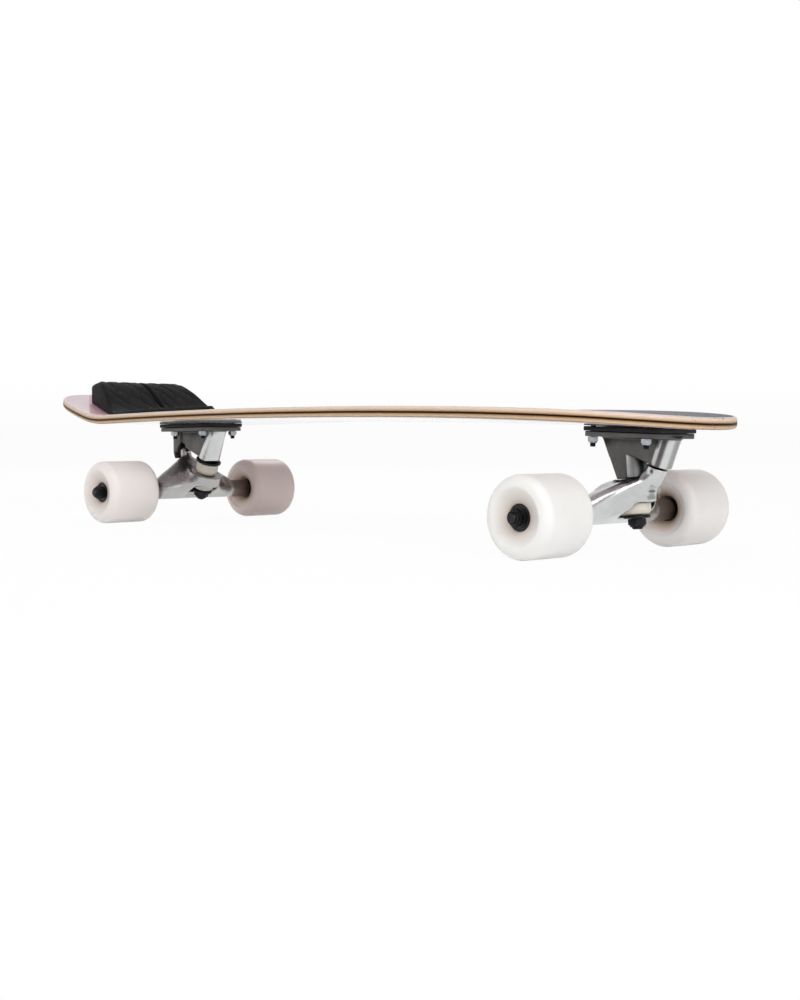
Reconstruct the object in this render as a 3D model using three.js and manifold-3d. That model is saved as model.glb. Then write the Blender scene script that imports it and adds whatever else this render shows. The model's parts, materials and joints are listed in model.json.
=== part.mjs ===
// Surf skateboard: a cambered wooden deck on a loose, tall front truck and a stiffer rear truck.
// Millimetres, +Z up, nose along +X, ground at z = 0, origin under the middle of the deck's length.
import * as THREE from 'three';
import { mergeVertices } from 'three/addons/utils/BufferGeometryUtils.js';
import Module from 'manifold-3d';

const wasm = await Module();
wasm.setup();

const { cos, sin, tan, atan, sqrt, min, max, abs, PI, SQRT1_2 } = Math;
const degrees = PI / 180;

// Clearances
const gap = 0.3;               // between pieces that touch
const slide = 0.2;             // round a shaft in its bore
const overrun = 6;             // a cutting body past what it cuts
const bond = 1;                // a joined form sunk into the one that carries it

// Deck
const deckLength = 918;
const deckWidth = 235;
const deckThickness = 10;
const deckEdge = 3;            // rounding of both edges
const deckWidest = 82;         // widest place ahead of the middle
const camberRadius = 12800;
const concaveDepth = 5.4;      // at the front truck, fading to flat at the rear truck
const concaveEndShare = 1.15;  // and no more of it than this further forward
const kickLength = 187;
const kickAngle = 11.9 * degrees;
const kickBlend = 55;
const noseBluntShare = 1.0;
const noseShoulderShare = 0.59;
const tailBluntShare = 0.73;
const tailShoulderShare = 0.8;

// Tail pad, in two halves
const padThickness = 3.6;
const padGlue = 0.6;           // glue line under the pad
const padSplit = 7;
const padInset = 2.5;          // from the deck's edge
const padBack = 68;            // tail tip to the pad's corner
const padPoint = 22;           // the middle runs back past the corner
const padLength = 345;         // corner to the front tips beside the deck's edges
const padNotch = 150;          // the front edge runs back this far toward the middle
const padCorner = 44;          // half width at the back
const padShoulder = 185;       // from the back to where the pad meets the deck's edge
const padBevel = 1.2;
const padTip = 12;             // each half's width where it ends at the back
const padShares = [0, 0.14, 0.34, 0.6, 0.86, 1];
const padNoseRound = 14;
const kickPadHeight = 25;      // of the foot stop over the deck at the back
const kickPadRun = 34;         // near level top of the foot stop
const kickPadFall = 2.4;       // the top is this much lower at its back
const kickPadRake = 3.6;       // the back wall leans this far forward
const kickPadRamp = 70;

// Axles and wheels
const wheelbase = 602.6;
const noseToAxle = 98.7;
const trackWidth = 195.5;
const wheelDiameter = 68;
const wheelWidth = 61.4;
const wheelLip = 9;
const wheelDish = 1.5;
const wheelMouthRadius = 17.3; // outer funnel
const wheelBackRadius = 21.5;  // inner funnel
const wheelShoulder = 2.6;     // stands in over the bearing's outer ring
const outerBearingDepth = 5.8;
const innerBearingDepth = 9.5;
const bearing = { outer: 22, inner: 8, width: 7, shield: 0.5, ring: 2.2, hub: 2 };
const axleDiameter = 8;
const axleNut = { flats: 12.7, height: 7.4, dome: 2.2 };
const axleEnd = 1.6;           // axle past its nut
const speedWasher = { radius: 6.6, thickness: 1 };
const spacerRadius = 5.1;

// Mounting hardware
const boltSpacing = 53.98;
const boltGauge = 41.28;
const boltDiameter = 4.8;
const boltHead = { radius: 4.8, depth: 2.6 };
const boltNut = { flats: 8.2, height: 5.2 };
const boltEnd = 3.2;
const riserThickness = 3.7;
const riserMargin = 1;
const plateThickness = 4.3;
const plateWidth = 54;

// Kingpins
const kingpinDiameter = 9.5;
const kingpinHead = { radius: 5.9, height: 5.5, roof: 1.8 };
const kingpinNut = { flats: 14.3, height: 7, dome: 1.6 };
const kingpinEnd = 1.8;
const bushingHole = 0.5;       // round the kingpin

// Pivots: each hanger ends in a round stub held in a plastic cup
const cupWall = 1.6;

// Trucks, each in its own frame: x toward the nose and z up from the axle's centre
const frontTruck = {
  name: 'front',
  height: 67.7,                // axle to the top of the plate
  plate: { back: -15.2, front: 59.8, corner: 4, bolts: 17.4 },
  ring: { x: 21.1, z: 13.7, radius: 17, thickness: 9, hole: 7.6 },
  kingpinTilt: -6.6 * degrees,
  kingpinLength: 44.4,         // ring's centre to the underside of the head
  pivot: { x: 44.4, z: 47, ball: 6, neck: 4.2, mouth: 3.2 },
  upperBushing: { height: 8.5, top: 11, waist: 12, bottom: 11.5 },
  lowerBushing: { height: 9.4, top: 12, waist: 12.2, bottom: 10 },
  upperWasher: { radius: 11.8, thickness: 2, lip: 1.4 },
  lowerWasher: { radius: 11.3, thickness: 3, lip: 1.6 },
  upperRoom: 14.2,             // radius kept free round the upper bushing
  upperSway: 5,                // more of it across the board
  lowerRoom: 13.2,
  lowerSway: 4,
};
const rearTruck = {
  name: 'rear',
  height: 71.5,
  plate: { back: -30.8, front: 60.2, corner: 8, bolts: 20.5 },
  ring: { x: 21.8, z: 14.3, radius: 19, thickness: 11.5, hole: 8.2 },
  kingpinTilt: 21.5 * degrees,
  kingpinLength: 50.5,
  pivot: { x: -21.5, z: 49.5, ball: 4.6, neck: 4.6, mouth: 1 },
  upperBushing: { height: 12.2, top: 11, waist: 12.4, bottom: 12 },
  lowerBushing: { height: 7.6, top: 11.5, waist: 11.8, bottom: 9.6 },
  upperWasher: { radius: 14.3, thickness: 3, lip: 2 },
  lowerWasher: { radius: 11, thickness: 3, lip: 1.6 },
  upperRoom: 14.8,
  upperSway: 1,
  lowerRoom: 12.2,
  lowerSway: 5.8,
};

// Front casting: a slab tower with a round nose, cut along the seam over the hanger's arm
const frontTower = {
  halfWidth: 11,
  webTop: -8,                  // back edge where it meets the plate
  webFoot: 9,                  // back edge at the kingpin seat
  kingpinNose: 0,              // centre of the round end ahead of the kingpin
  bossTilt: 19 * degrees,
  bossRadius: 11.2,
  seam: 5.6,                   // pivot's centre to the seam, along the boss
  seamGap: 1.7,
  notch: 18.6,                 // where the seam starts behind the boss
};
// Rear casting: a tower behind the pivot, a web notched over the horn and a flared kingpin tube
const rearTower = {
  halfWidth: 9,
  back: -33,
  backFoot: 48.5,
  chin: { x: -23.4, z: 35.2 },
  throat: { x: -24.4, z: 43.2 },
  notch: { x: -12.6, z: 55.2 },
  brow: { x: -6.4, z: 52.4 },
  cheek: { x: -4.6, z: 44.6 },
  webFoot: { x: 0.4, z: 38.4 },
  webHalf: 7.4,
  tubeFoot: 12,
  tubeTop: 9.6,
  tubeLean: 4.6,               // the tube's top stands ahead of the kingpin
};

// Hangers: sections across the axle, each the hull of round bars
const barrelRadius = 9.6;
const barrelReach = 2.3;       // small facing beyond the barrel, against the bearing
const facingRadius = 6.2;
const barFootShare = 0.9;      // of the barrel's radius, where a bar has sunk into it
const frontArm = {
  x: 38,
  z: 34,
  radius: 4,
};
const frontSpine = {
  x: -3,
  z: 19,
  radius: 6,
};
const frontBay = {
  x: 24,
  z: 10.5,
  radius: 8,
};
const frontSpread = 47;        // half span of the cast wings
const rearArm = {
  x: -13,
  z: 31.6,
  radius: 7,
};
const rearSpine = {
  x: 0,
  z: 23,
  radius: 8,
};
const rearBay = {
  x: 21,
  z: 10.5,
  radius: 8.4,
};
const rearSpread = 54;
const armEnd = { radius: 9.2, foot: 6.6, length: 15 };
const horn = { tip: 6, reach: 7.6 };  // round tip and its distance from the stub's end
// How far each bar still reaches from the barrel at these shares of the spread
const spanShares = [0, 0.13, 0.24, 0.37, 0.52, 0.7, 0.86, 1];
const frontArmShares = [1, 1, 0.8, 0.7, 0.6, 0.42, 0.2, 0];
const frontSpineShares = [1, 1, 0.94, 0.8, 0.6, 0.4, 0.18, 0];
const frontBayShares = [1, 1, 1, 0.86, 0.55, 0.26, 0.09, 0];
const rearArmShares = [1, 0.97, 0.86, 0.72, 0.56, 0.38, 0.2, 0];
const rearSpineShares = [1, 1, 0.92, 0.8, 0.62, 0.4, 0.18, 0];
const rearBayShares = [1, 1, 0.97, 0.76, 0.46, 0.22, 0.07, 0];

// Facets
const deckStations = 40;
const deckRows = 6;
const padStations = 26;
const wheelSides = 24;
const roundSides = 15;
const smallSides = 10;
const boltSides = 8;
const bearingSides = 12;
const cupSteps = 4;
const hullSides = 16;
const lipSteps = 3;

// Solids

function toSolid(geometry) {
  const bare = geometry.clone();
  bare.deleteAttribute('normal');
  bare.deleteAttribute('uv');
  const merged = mergeVertices(bare, 1e-5);
  return new wasm.Manifold(new wasm.Mesh({
    numProp: 3,
    vertProperties: new Float32Array(merged.attributes.position.array),
    triVerts: new Uint32Array(merged.index.array),
  }));
}

function toGeometry(solid) {
  const mesh = solid.getMesh();
  const geometry = new THREE.BufferGeometry();
  geometry.setAttribute('position', new THREE.BufferAttribute(mesh.vertProperties, 3));
  geometry.setIndex(new THREE.BufferAttribute(mesh.triVerts, 1));
  const flat = geometry.toNonIndexed();
  flat.computeVertexNormals();
  return flat;
}

const join = (first, ...rest) => rest.reduce((sum, next) => sum.add(next), first);
const cut = (first, ...rest) => rest.reduce((left, next) => left.subtract(next), first);

// A point of a truck's middle plane
const at = (x, z) => new THREE.Vector3(x, 0, z);
// A direction in that plane, leaning from straight up toward the nose
const lean = (tilt) => new THREE.Vector3(sin(tilt), 0, cos(tilt));
const along = (start, direction, distance) => start.clone().addScaledVector(direction, distance);

// A turned body: profile points are [radius, distance along the axis]
function turned(profile, sides, base, direction) {
  const points = profile.map(([radius, distance]) => new THREE.Vector2(radius, distance));
  const geometry = new THREE.LatheGeometry(points, sides);
  const spin = new THREE.Quaternion().setFromUnitVectors(new THREE.Vector3(0, 1, 0), direction);
  geometry.applyQuaternion(spin);
  geometry.translate(base.x, base.y, base.z);
  return toSolid(geometry);
}

const rod = (base, direction, start, end, radius, sides = smallSides, endRadius = radius) =>
  turned([[0, start], [radius, start], [endRadius, end], [0, end]], sides, base, direction);

// A bar that ends in a ball about its centre
function domed(centre, direction, start, startRadius, neck, ball) {
  const profile = [[0, start], [startRadius, start]];
  const meet = -Math.acos(neck / ball);
  for (let step = 0; step < cupSteps; step += 1) {
    const angle = meet + (PI / 2 - meet) * step / cupSteps;
    profile.push([ball * cos(angle), ball * sin(angle)]);
  }
  profile.push([0, ball]);
  return turned(profile, smallSides, centre, direction);
}

function hexagon(base, direction, start, height, flats) {
  const corner = flats / 2 / cos(PI / 6);
  return rod(base, direction, start, start + height, corner, 6);
}

// A rounded rectangle in plan
function roundedPlan(back, front, halfWidth, corner) {
  const shape = new THREE.Shape();
  shape.absarc(front - corner, halfWidth - corner, corner, 0, PI / 2);
  shape.absarc(back + corner, halfWidth - corner, corner, PI / 2, PI);
  shape.absarc(back + corner, corner - halfWidth, corner, PI, 3 * PI / 2);
  shape.absarc(front - corner, corner - halfWidth, corner, 3 * PI / 2, 2 * PI);
  shape.closePath();
  return shape;
}

function raised(shape, bottom, top, curveSegments = 3) {
  const depth = top - bottom;
  const geometry = new THREE.ExtrudeGeometry(shape, { depth, bevelEnabled: false, curveSegments });
  geometry.translate(0, 0, bottom);
  return toSolid(geometry);
}

// An outline in a truck's middle plane, given as [x, z] points, made as thick as asked
function slab(points, halfWidth) {
  const shape = new THREE.Shape(points.map(([x, z]) => new THREE.Vector2(x, z)));
  const geometry = new THREE.ExtrudeGeometry(shape, { depth: 2 * halfWidth, bevelEnabled: false });
  geometry.rotateX(PI / 2);
  geometry.translate(0, halfWidth, 0);
  return toSolid(geometry);
}

// Closed skin through rings of points, with flat ends
function loft(rings) {
  const count = rings[0].length;
  const positions = rings.flat().flatMap((point) => [point.x, point.y, point.z]);
  const index = [];
  for (let ring = 0; ring < rings.length - 1; ring += 1) {
    for (let side = 0; side < count; side += 1) {
      const a = ring * count + side;
      const b = ring * count + (side + 1) % count;
      index.push(a, b, a + count, b, b + count, a + count);
    }
  }
  // Each end is a strip across the ring
  const last = (rings.length - 1) * count;
  for (let side = 0; side < count / 2 - 1; side += 1) {
    const [a, b, c, d] = [side, side + 1, count - 1 - side, count - 2 - side];
    index.push(a, c, b, b, c, d);
    index.push(last + a, last + b, last + c, last + b, last + d, last + c);
  }
  const geometry = new THREE.BufferGeometry();
  geometry.setAttribute('position', new THREE.Float32BufferAttribute(positions, 3));
  geometry.setIndex(index);
  return toSolid(geometry);
}

// Deck surface

const halfLength = deckLength / 2;
const halfDeck = deckWidth / 2;
const wheelRadius = wheelDiameter / 2;
const frontAxleX = halfLength - noseToAxle;
const rearAxleX = frontAxleX - wheelbase;
const seatHeight = (truck) => truck.height + gap + riserThickness + gap;

// The trucks stand square to the cambered deck, so its height and their tilts are found together
function seatDeck() {
  let frontTilt = 0;
  let rearTilt = 0;
  let middle = 0;
  let top = 0;
  const seat = (truck, axleX, tilt) => ({
    x: axleX + truck.plate.bolts * cos(tilt) + seatHeight(truck) * sin(tilt),
    z: wheelRadius - truck.plate.bolts * sin(tilt) + seatHeight(truck) * cos(tilt),
  });
  for (let round = 0; round < 8; round += 1) {
    const front = seat(frontTruck, frontAxleX, frontTilt);
    const rear = seat(rearTruck, rearAxleX, rearTilt);
    const slope = (front.z - rear.z) / (front.x - rear.x);
    middle = (front.x + rear.x) / 2 + slope * camberRadius;
    top = front.z + (front.x - middle) ** 2 / (2 * camberRadius);
    frontTilt = atan((front.x - middle) / camberRadius);
    rearTilt = atan((rear.x - middle) / camberRadius);
  }
  return { frontTilt, rearTilt, middle, top };
}
const camber = seatDeck();

function kickRise(x) {
  const run = kickLength - halfLength - x;
  if (run <= 0) return 0;
  return tan(kickAngle) * (run < kickBlend ? run * run / (2 * kickBlend) : run - kickBlend / 2);
}

function deckUnder(x, y) {
  const share = min(max((x - rearAxleX) / wheelbase, 0), concaveEndShare);
  const middleLine = camber.top - (x - camber.middle) ** 2 / (2 * camberRadius) + kickRise(x);
  return middleLine + concaveDepth * share * (y / halfDeck) ** 2;
}
const deckTop = (x, y) => deckUnder(x, y) + deckThickness;

// Half outline from tail to nose, bulging to the widest place
const tailCurve = new THREE.CubicBezierCurve(
  new THREE.Vector2(-halfLength, 0),
  new THREE.Vector2(-halfLength, halfDeck * tailBluntShare),
  new THREE.Vector2(deckWidest - (halfLength + deckWidest) * tailShoulderShare, halfDeck),
  new THREE.Vector2(deckWidest, halfDeck),
);
const noseCurve = new THREE.CubicBezierCurve(
  new THREE.Vector2(deckWidest, halfDeck),
  new THREE.Vector2(deckWidest + (halfLength - deckWidest) * noseShoulderShare, halfDeck),
  new THREE.Vector2(halfLength, halfDeck * noseBluntShare),
  new THREE.Vector2(halfLength, 0),
);
const outlineStation = (share) => {
  const curve = share < 0.5 ? tailCurve : noseCurve;
  const part = share < 0.5 ? 2 * share : 2 * share - 1;
  const point = curve.getPoint(part);
  const direction = curve.getTangent(part);
  return { x: point.x, half: point.y, normal: new THREE.Vector2(-direction.y, direction.x) };
};

function halfDeckAt(x) {
  const curve = x < deckWidest ? tailCurve : noseCurve;
  let low = 0;
  let high = 1;
  for (let step = 0; step < 24; step += 1) {
    const middle = (low + high) / 2;
    if (curve.getPoint(middle).x < x) low = middle;
    else high = middle;
  }
  return curve.getPoint(low).y;
}

function deckBody() {
  const stations = [];
  for (let i = 0; i <= deckStations; i += 1) stations.push(outlineStation(i / deckStations));
  const inset = (station, side, distance) => new THREE.Vector2(
    station.x - station.normal.x * distance,
    side * max(station.half - station.normal.y * distance, 0),
  );
  // Edge loops from the top face round to the underside: [inset share, depth share of the rounding]
  const edgeShares = [[1, 0], [1 - SQRT1_2, 1 - SQRT1_2], [0, 1]];
  const rows = [
    ...edgeShares.map(([away, down]) => [away * deckEdge, down * deckEdge]),
    ...edgeShares.map(([away, down]) => [away * deckEdge, deckThickness - down * deckEdge]).reverse(),
  ];
  const positions = [];
  const index = [];
  const put = (x, y, z) => positions.push(x, y, z) / 3 - 1;
  // Outline round the deck: near side from tail to nose, then back along the far side
  const round = [
    ...stations.map((station) => [station, -1]),
    ...stations.slice(1, -1).reverse().map((station) => [station, 1]),
  ];
  const loops = rows.map(([away, down]) => round.map(([station, side]) => {
    const point = inset(station, side, away);
    return put(point.x, point.y, deckTop(point.x, point.y) - down);
  }));
  for (let row = 0; row < loops.length - 1; row += 1) {
    for (let i = 0; i < round.length; i += 1) {
      const next = (i + 1) % round.length;
      const [a, b, c, d] = [loops[row][i], loops[row][next], loops[row + 1][i], loops[row + 1][next]];
      index.push(a, c, b, b, c, d);
    }
  }
  // Faces between the loops' two sides
  const face = (loop, drop, upward) => {
    const quad = (a, b, c, d) => (upward ? index.push(a, b, c, b, d, c) : index.push(a, c, b, b, c, d));
    let before = null;
    for (let i = 1; i < deckStations; i += 1) {
      const nearPoint = inset(stations[i], -1, deckEdge);
      const line = [loop[i]];
      for (let k = 1; k < deckRows; k += 1) {
        const y = nearPoint.y * (1 - 2 * k / deckRows);
        line.push(put(nearPoint.x, y, deckTop(nearPoint.x, y) - drop));
      }
      line.push(loop[round.length - i]);
      for (let k = 0; k < deckRows; k += 1) {
        if (before) quad(before[k], line[k], before[k + 1], line[k + 1]);
        else if (upward) index.push(loop[0], line[k], line[k + 1]);
        else index.push(loop[0], line[k + 1], line[k]);
      }
      before = line;
    }
    const tip = loop[deckStations];
    for (let k = 0; k < deckRows; k += 1) {
      if (upward) index.push(before[k], tip, before[k + 1]);
      else index.push(before[k], before[k + 1], tip);
    }
  };
  face(loops[0], 0, true);
  face(loops[loops.length - 1], deckThickness, false);
  const geometry = new THREE.BufferGeometry();
  geometry.setAttribute('position', new THREE.Float32BufferAttribute(positions, 3));
  geometry.setIndex(index);
  return toSolid(geometry);
}

// Tail pad halves: a thin mat that climbs a ramp to a foot stop, with a swallowtail front edge

const padBackX = padBack - halfLength;
const padStartX = padBackX - padPoint;
const padEndX = padBackX + padLength;
const padRampFoot = padBackX + kickPadRun + kickPadRamp;
const footStopLevel = deckTop(padBackX, 0) + kickPadHeight;

function padHeight(x, y) {
  const climb = min(max((padRampFoot - x) / kickPadRamp, 0), 1);
  const ease = climb * climb * (3 - 2 * climb);
  const fall = kickPadFall * min(max((padBackX + kickPadRun - x) / kickPadRun, 0), 1);
  const mat = deckTop(x, y) + padGlue + padThickness;
  return mat + (footStopLevel - fall - mat) * ease;
}

function padOuter(x) {
  const edge = halfDeckAt(x) - padInset;
  const shoulder = halfDeckAt(padBackX + padShoulder) - padInset;
  const taper = padCorner + (x - padBackX) * (shoulder - padCorner) / padShoulder;
  const point = padCorner * (x - padStartX) / padPoint;
  const left = padEndX - x;
  const round = sqrt(max(padNoseRound ** 2 - (padNoseRound - left) ** 2, 0));
  const nose = left < padNoseRound ? edge - padNoseRound + round : edge;
  return max(min(edge, taper, point, nose), padSplit / 2 + padTip);
}

function padHalf(side) {
  const first = padStartX + padBevel * 2;
  const rings = [];
  for (let i = 0; i <= padStations; i += 1) {
    const share = i / padStations;
    const ends = (1 - cos(PI * share)) / 2;
    const x = first + (padEndX - first) * (share + ends) / 2;
    const inner = padSplit / 2;
    const outer = padOuter(x);
    const across = padShares.map((part) => inner + (outer - inner) * part);
    // Ahead of the ramp each ring runs back toward the split, at the back its top leans forward
    const notch = padNotch * max((x - padRampFoot) / (padEndX - padRampFoot), 0);
    const rake = kickPadRake * max(1 - (x - first) / padPoint, 0);
    const set = (y) => x - notch * (1 - y / halfDeck);
    const drop = i === 0 || i === padStations ? padBevel : 0;
    const under = across.map((y) => new THREE.Vector3(set(y), side * y, deckTop(set(y), y) + padGlue));
    const top = (y, rim, down) => {
      const forward = set(y) + rake;
      return new THREE.Vector3(forward, side * (y + rim), padHeight(forward, y) - down);
    };
    const over = across.map((y, k) => {
      const rim = k === 0 ? padBevel : k === across.length - 1 ? -padBevel : 0;
      return top(y, rim, drop);
    });
    const lip = top(outer, 0, drop + padBevel);
    const innerLip = top(inner, 0, drop + padBevel);
    const ring = [...under, lip, ...over.reverse(), innerLip];
    rings.push(side > 0 ? ring : ring.reverse());
  }
  return loft(rings);
}

// Trucks

function truckFrame(truck) {
  const ringCentre = at(truck.ring.x, truck.ring.z);
  const kingpin = lean(truck.kingpinTilt);
  const ringHalf = truck.ring.thickness / 2;
  const upperBushing = ringHalf + gap;
  const upperWasher = upperBushing + truck.upperBushing.height + gap;
  const seat = upperWasher + truck.upperWasher.thickness + gap;
  const lowerBushing = -ringHalf - gap;
  const lowerWasher = lowerBushing - truck.lowerBushing.height - gap;
  const nut = lowerWasher - truck.lowerWasher.thickness - gap;
  const steer = pivotPoint(truck).sub(ringCentre).normalize();
  return { ringCentre, kingpin, steer, upperBushing, upperWasher, seat, lowerBushing, lowerWasher, nut };
}

function boltPlaces(truck) {
  const places = [];
  for (const end of [-1, 1]) {
    for (const side of [-1, 1]) {
      places.push(new THREE.Vector3(truck.plate.bolts + end * boltSpacing / 2, side * boltGauge / 2, 0));
    }
  }
  return places;
}

const up = new THREE.Vector3(0, 0, 1);
const acrossAxis = new THREE.Vector3(0, 1, 0);
const boltHoles = (truck, bottom, top) => boltPlaces(truck).map((place) =>
  rod(place, up, bottom - overrun, top + overrun, boltDiameter / 2 + slide, boltSides));

function riserBody(truck) {
  const { back, front, corner } = truck.plate;
  const plan = roundedPlan(back - riserMargin, front + riserMargin, plateWidth / 2 + riserMargin, corner);
  const bottom = truck.height + gap;
  const top = bottom + riserThickness;
  return cut(raised(plan, bottom, top), ...boltHoles(truck, bottom, top));
}

function plateBody(truck) {
  const { back, front, corner } = truck.plate;
  const plan = roundedPlan(back, front, plateWidth / 2, corner);
  return raised(plan, truck.height - plateThickness, truck.height);
}

// Bore for the kingpin and a pocket for its head, open at the top of the plate
function kingpinBores(truck, frame) {
  const bore = rod(frame.ringCentre, frame.kingpin, frame.seat - overrun, truck.kingpinLength + overrun,
    kingpinDiameter / 2 + gap);
  const pocket = rod(frame.ringCentre, frame.kingpin, truck.kingpinLength - gap, truck.height,
    kingpinHead.radius + gap, roundSides);
  return [bore, pocket];
}

const pivotPoint = (truck) => at(truck.pivot.x, truck.pivot.z);
// A facetted hollow's radius, so that its flats keep the clearance too
const hollowRadius = (radius, sides) => (radius + gap) / cos(PI / sides);
const cupHollow = (truck) => hollowRadius(truck.pivot.ball, smallSides);

// Pocket for the pivot cup, along the cup's own axis, and its mouth
function cupPocket(truck, direction) {
  const radius = hollowRadius(cupHollow(truck) + cupWall, roundSides);
  return rod(pivotPoint(truck), direction, -overrun * 2, radius, radius, roundSides);
}

function frontBaseplate(truck, frame) {
  const plateBottom = truck.height - plateThickness;
  const pivot = pivotPoint(truck);
  const boss = lean(frontTower.bossTilt);
  const seamPoint = along(pivot, boss, -frontTower.seam);
  const seamSlope = -tan(frontTower.bossTilt);
  const seamZ = (x) => seamPoint.z + (x - seamPoint.x) * seamSlope;
  const seatPoint = along(frame.ringCentre, frame.kingpin, frame.seat);
  const seatSlope = -tan(truck.kingpinTilt);
  const seatZ = (x) => seatPoint.z + (x - seatPoint.x) * seatSlope;
  const kingpinNose = seatPoint.x + frontTower.halfWidth;
  const top = plateBottom + bond;
  const far = truck.plate.front + overrun;
  const upper = slab([
    [frontTower.webTop, top],
    [frontTower.webTop + (frontTower.webFoot - frontTower.webTop) / 2, (top + seatZ(frontTower.webFoot)) / 2],
    [frontTower.notch, seamZ(frontTower.notch)],
    [far, seamZ(far)],
    [far, top],
  ], frontTower.halfWidth + bond);
  const reach = (plateBottom - pivot.z) / cos(frontTower.bossTilt) + overrun;
  const bossBar = rod(pivot, boss, -frontTower.seam - overrun * 2, reach, frontTower.bossRadius, roundSides);
  const bossBlock = slab([
    [frontTower.webTop - overrun, top + overrun],
    [frontTower.webTop - overrun, -overrun],
    [along(pivot, boss, -frontTower.seam - overrun).x, -overrun],
    [along(pivot, boss, -frontTower.seam - overrun).x, along(pivot, boss, -frontTower.seam - overrun).z],
    [along(pivot, boss, reach).x, top + overrun],
  ], frontTower.halfWidth);
  const upperTower = upper.intersect(join(bossBlock, bossBar));
  const lower = slab([
    [frontTower.webTop, top],
    [frontTower.webFoot, seatZ(frontTower.webFoot)],
    [kingpinNose, seatZ(kingpinNose)],
    [kingpinNose, top],
  ], frontTower.halfWidth);
  const kingpinBar = rod(frame.ringCentre, frame.kingpin, frame.seat - overrun, truck.kingpinLength + overrun,
    frontTower.halfWidth, roundSides);
  const behindKingpin = slab([
    [frontTower.webTop - overrun, top + overrun],
    [frontTower.webTop - overrun, 0],
    [along(frame.ringCentre, frame.kingpin, 0).x, 0],
    [along(frame.ringCentre, frame.kingpin, truck.height).x, truck.height],
  ], frontTower.halfWidth);
  const lowerTower = lower.intersect(join(behindKingpin, kingpinBar));
  const body = join(plateBody(truck), upperTower, lowerTower);
  return cut(body, ...kingpinBores(truck, frame), cupPocket(truck, boss),
    ...boltHoles(truck, plateBottom, truck.height));
}

function rearBaseplate(truck, frame) {
  const plateBottom = truck.height - plateThickness;
  const top = plateBottom + bond;
  const { back, backFoot, chin, throat, notch, brow, cheek, webFoot, halfWidth, webHalf } = rearTower;
  const plan = new THREE.Shape();
  plan.absarc(back + halfWidth, 0, halfWidth, PI / 2, 3 * PI / 2);
  plan.lineTo(notch.x, -halfWidth);
  plan.lineTo(notch.x, halfWidth);
  plan.closePath();
  const tower = slab([
    [back, top], [back, backFoot], [chin.x, chin.z], [throat.x, throat.z], [notch.x, notch.z], [notch.x, top],
  ], halfWidth + bond).intersect(raised(plan, 0, truck.height, lipSteps));
  const seatPoint = along(frame.ringCentre, frame.kingpin, frame.seat);
  const topLength = (top - frame.ringCentre.z) / cos(truck.kingpinTilt);
  const topPoint = along(frame.ringCentre, frame.kingpin, topLength);
  topPoint.x += rearTower.tubeLean;
  const web = slab([
    [notch.x - bond, top], [notch.x - bond, notch.z], [brow.x, brow.z], [cheek.x, cheek.z],
    [webFoot.x, webFoot.z], [seatPoint.x, seatPoint.z + bond], [topPoint.x, top],
  ], webHalf);
  const tubeAxis = topPoint.clone().sub(seatPoint);
  const tubeLength = tubeAxis.length() + overrun;
  const { tubeFoot, tubeTop } = rearTower;
  const tubeBar = rod(seatPoint, tubeAxis.normalize(), -overrun, tubeLength, tubeFoot, roundSides, tubeTop);
  const seatCut = rod(frame.ringCentre, frame.kingpin, 0, frame.seat, truck.height, boltSides);
  const below = raised(roundedPlan(back, truck.plate.front, plateWidth / 2, bond), 0, top);
  const body = join(plateBody(truck), tower, cut(join(web, tubeBar.intersect(below)), seatCut));
  return cut(body, ...kingpinBores(truck, frame), cupPocket(truck, frame.steer),
    ...boltHoles(truck, plateBottom, truck.height));
}

// A cup closed at its top, open at its mouth, round the hanger's ball
function pivotCup(truck, direction) {
  const inner = cupHollow(truck);
  const outer = inner + cupWall;
  const mouth = -truck.pivot.mouth;
  const hollow = (height) => [sqrt(inner ** 2 - height ** 2), height];
  const profile = [hollow(mouth), [outer, mouth], [outer, outer], [0, outer], [0, inner]];
  for (let step = cupSteps - 1; step >= 1; step -= 1) {
    const angle = PI / 2 * step / cupSteps;
    profile.push([inner * cos(angle), inner * sin(angle)]);
  }
  profile.push([inner, 0], hollow(mouth / 2), hollow(mouth));
  return turned(profile, smallSides, pivotPoint(truck), direction);
}

function ringOf(outer, inner, start, end, base, direction, sides = roundSides) {
  const profile = [[inner, start], [outer, start], [outer, end], [inner, end], [inner, start]];
  return turned(profile, sides, base, direction);
}

function bushing(form, start, down, frame) {
  const inner = kingpinDiameter / 2 + bushingHole;
  const height = down ? -form.height : form.height;
  const [near, far] = down ? [form.top, form.bottom] : [form.bottom, form.top];
  const profile = [
    [inner, start], [near, start], [form.waist, start + height / 3], [form.waist, start + height / 2],
    [far, start + height], [inner, start + height], [inner, start],
  ];
  return turned(down ? profile.reverse() : profile, roundSides, frame.ringCentre, frame.kingpin);
}

// A cup washer whose lip turns toward the bushing
function cupWasher(form, start, down, frame) {
  const inner = kingpinDiameter / 2 + bushingHole;
  const sign = down ? -1 : 1;
  const lip = form.lip;
  const profile = [
    [inner, start], [form.radius - lip, start], [form.radius, start + sign * lip / 2],
    [form.radius, start + sign * form.thickness], [inner, start + sign * form.thickness], [inner, start],
  ];
  return turned(down ? profile.reverse() : profile, roundSides, frame.ringCentre, frame.kingpin);
}

function kingpinBody(truck, frame) {
  const foot = frame.nut - kingpinNut.height - kingpinEnd;
  const headTop = truck.kingpinLength + kingpinHead.height;
  return turned([
    [0, foot], [kingpinDiameter / 2 - kingpinEnd / 2, foot], [kingpinDiameter / 2, foot + kingpinEnd],
    [kingpinDiameter / 2, truck.kingpinLength], [kingpinHead.radius, truck.kingpinLength],
    [kingpinHead.radius, headTop - kingpinHead.roof], [kingpinHead.radius - kingpinHead.roof, headTop],
    [0, headTop],
  ], smallSides, frame.ringCentre, frame.kingpin);
}

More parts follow.
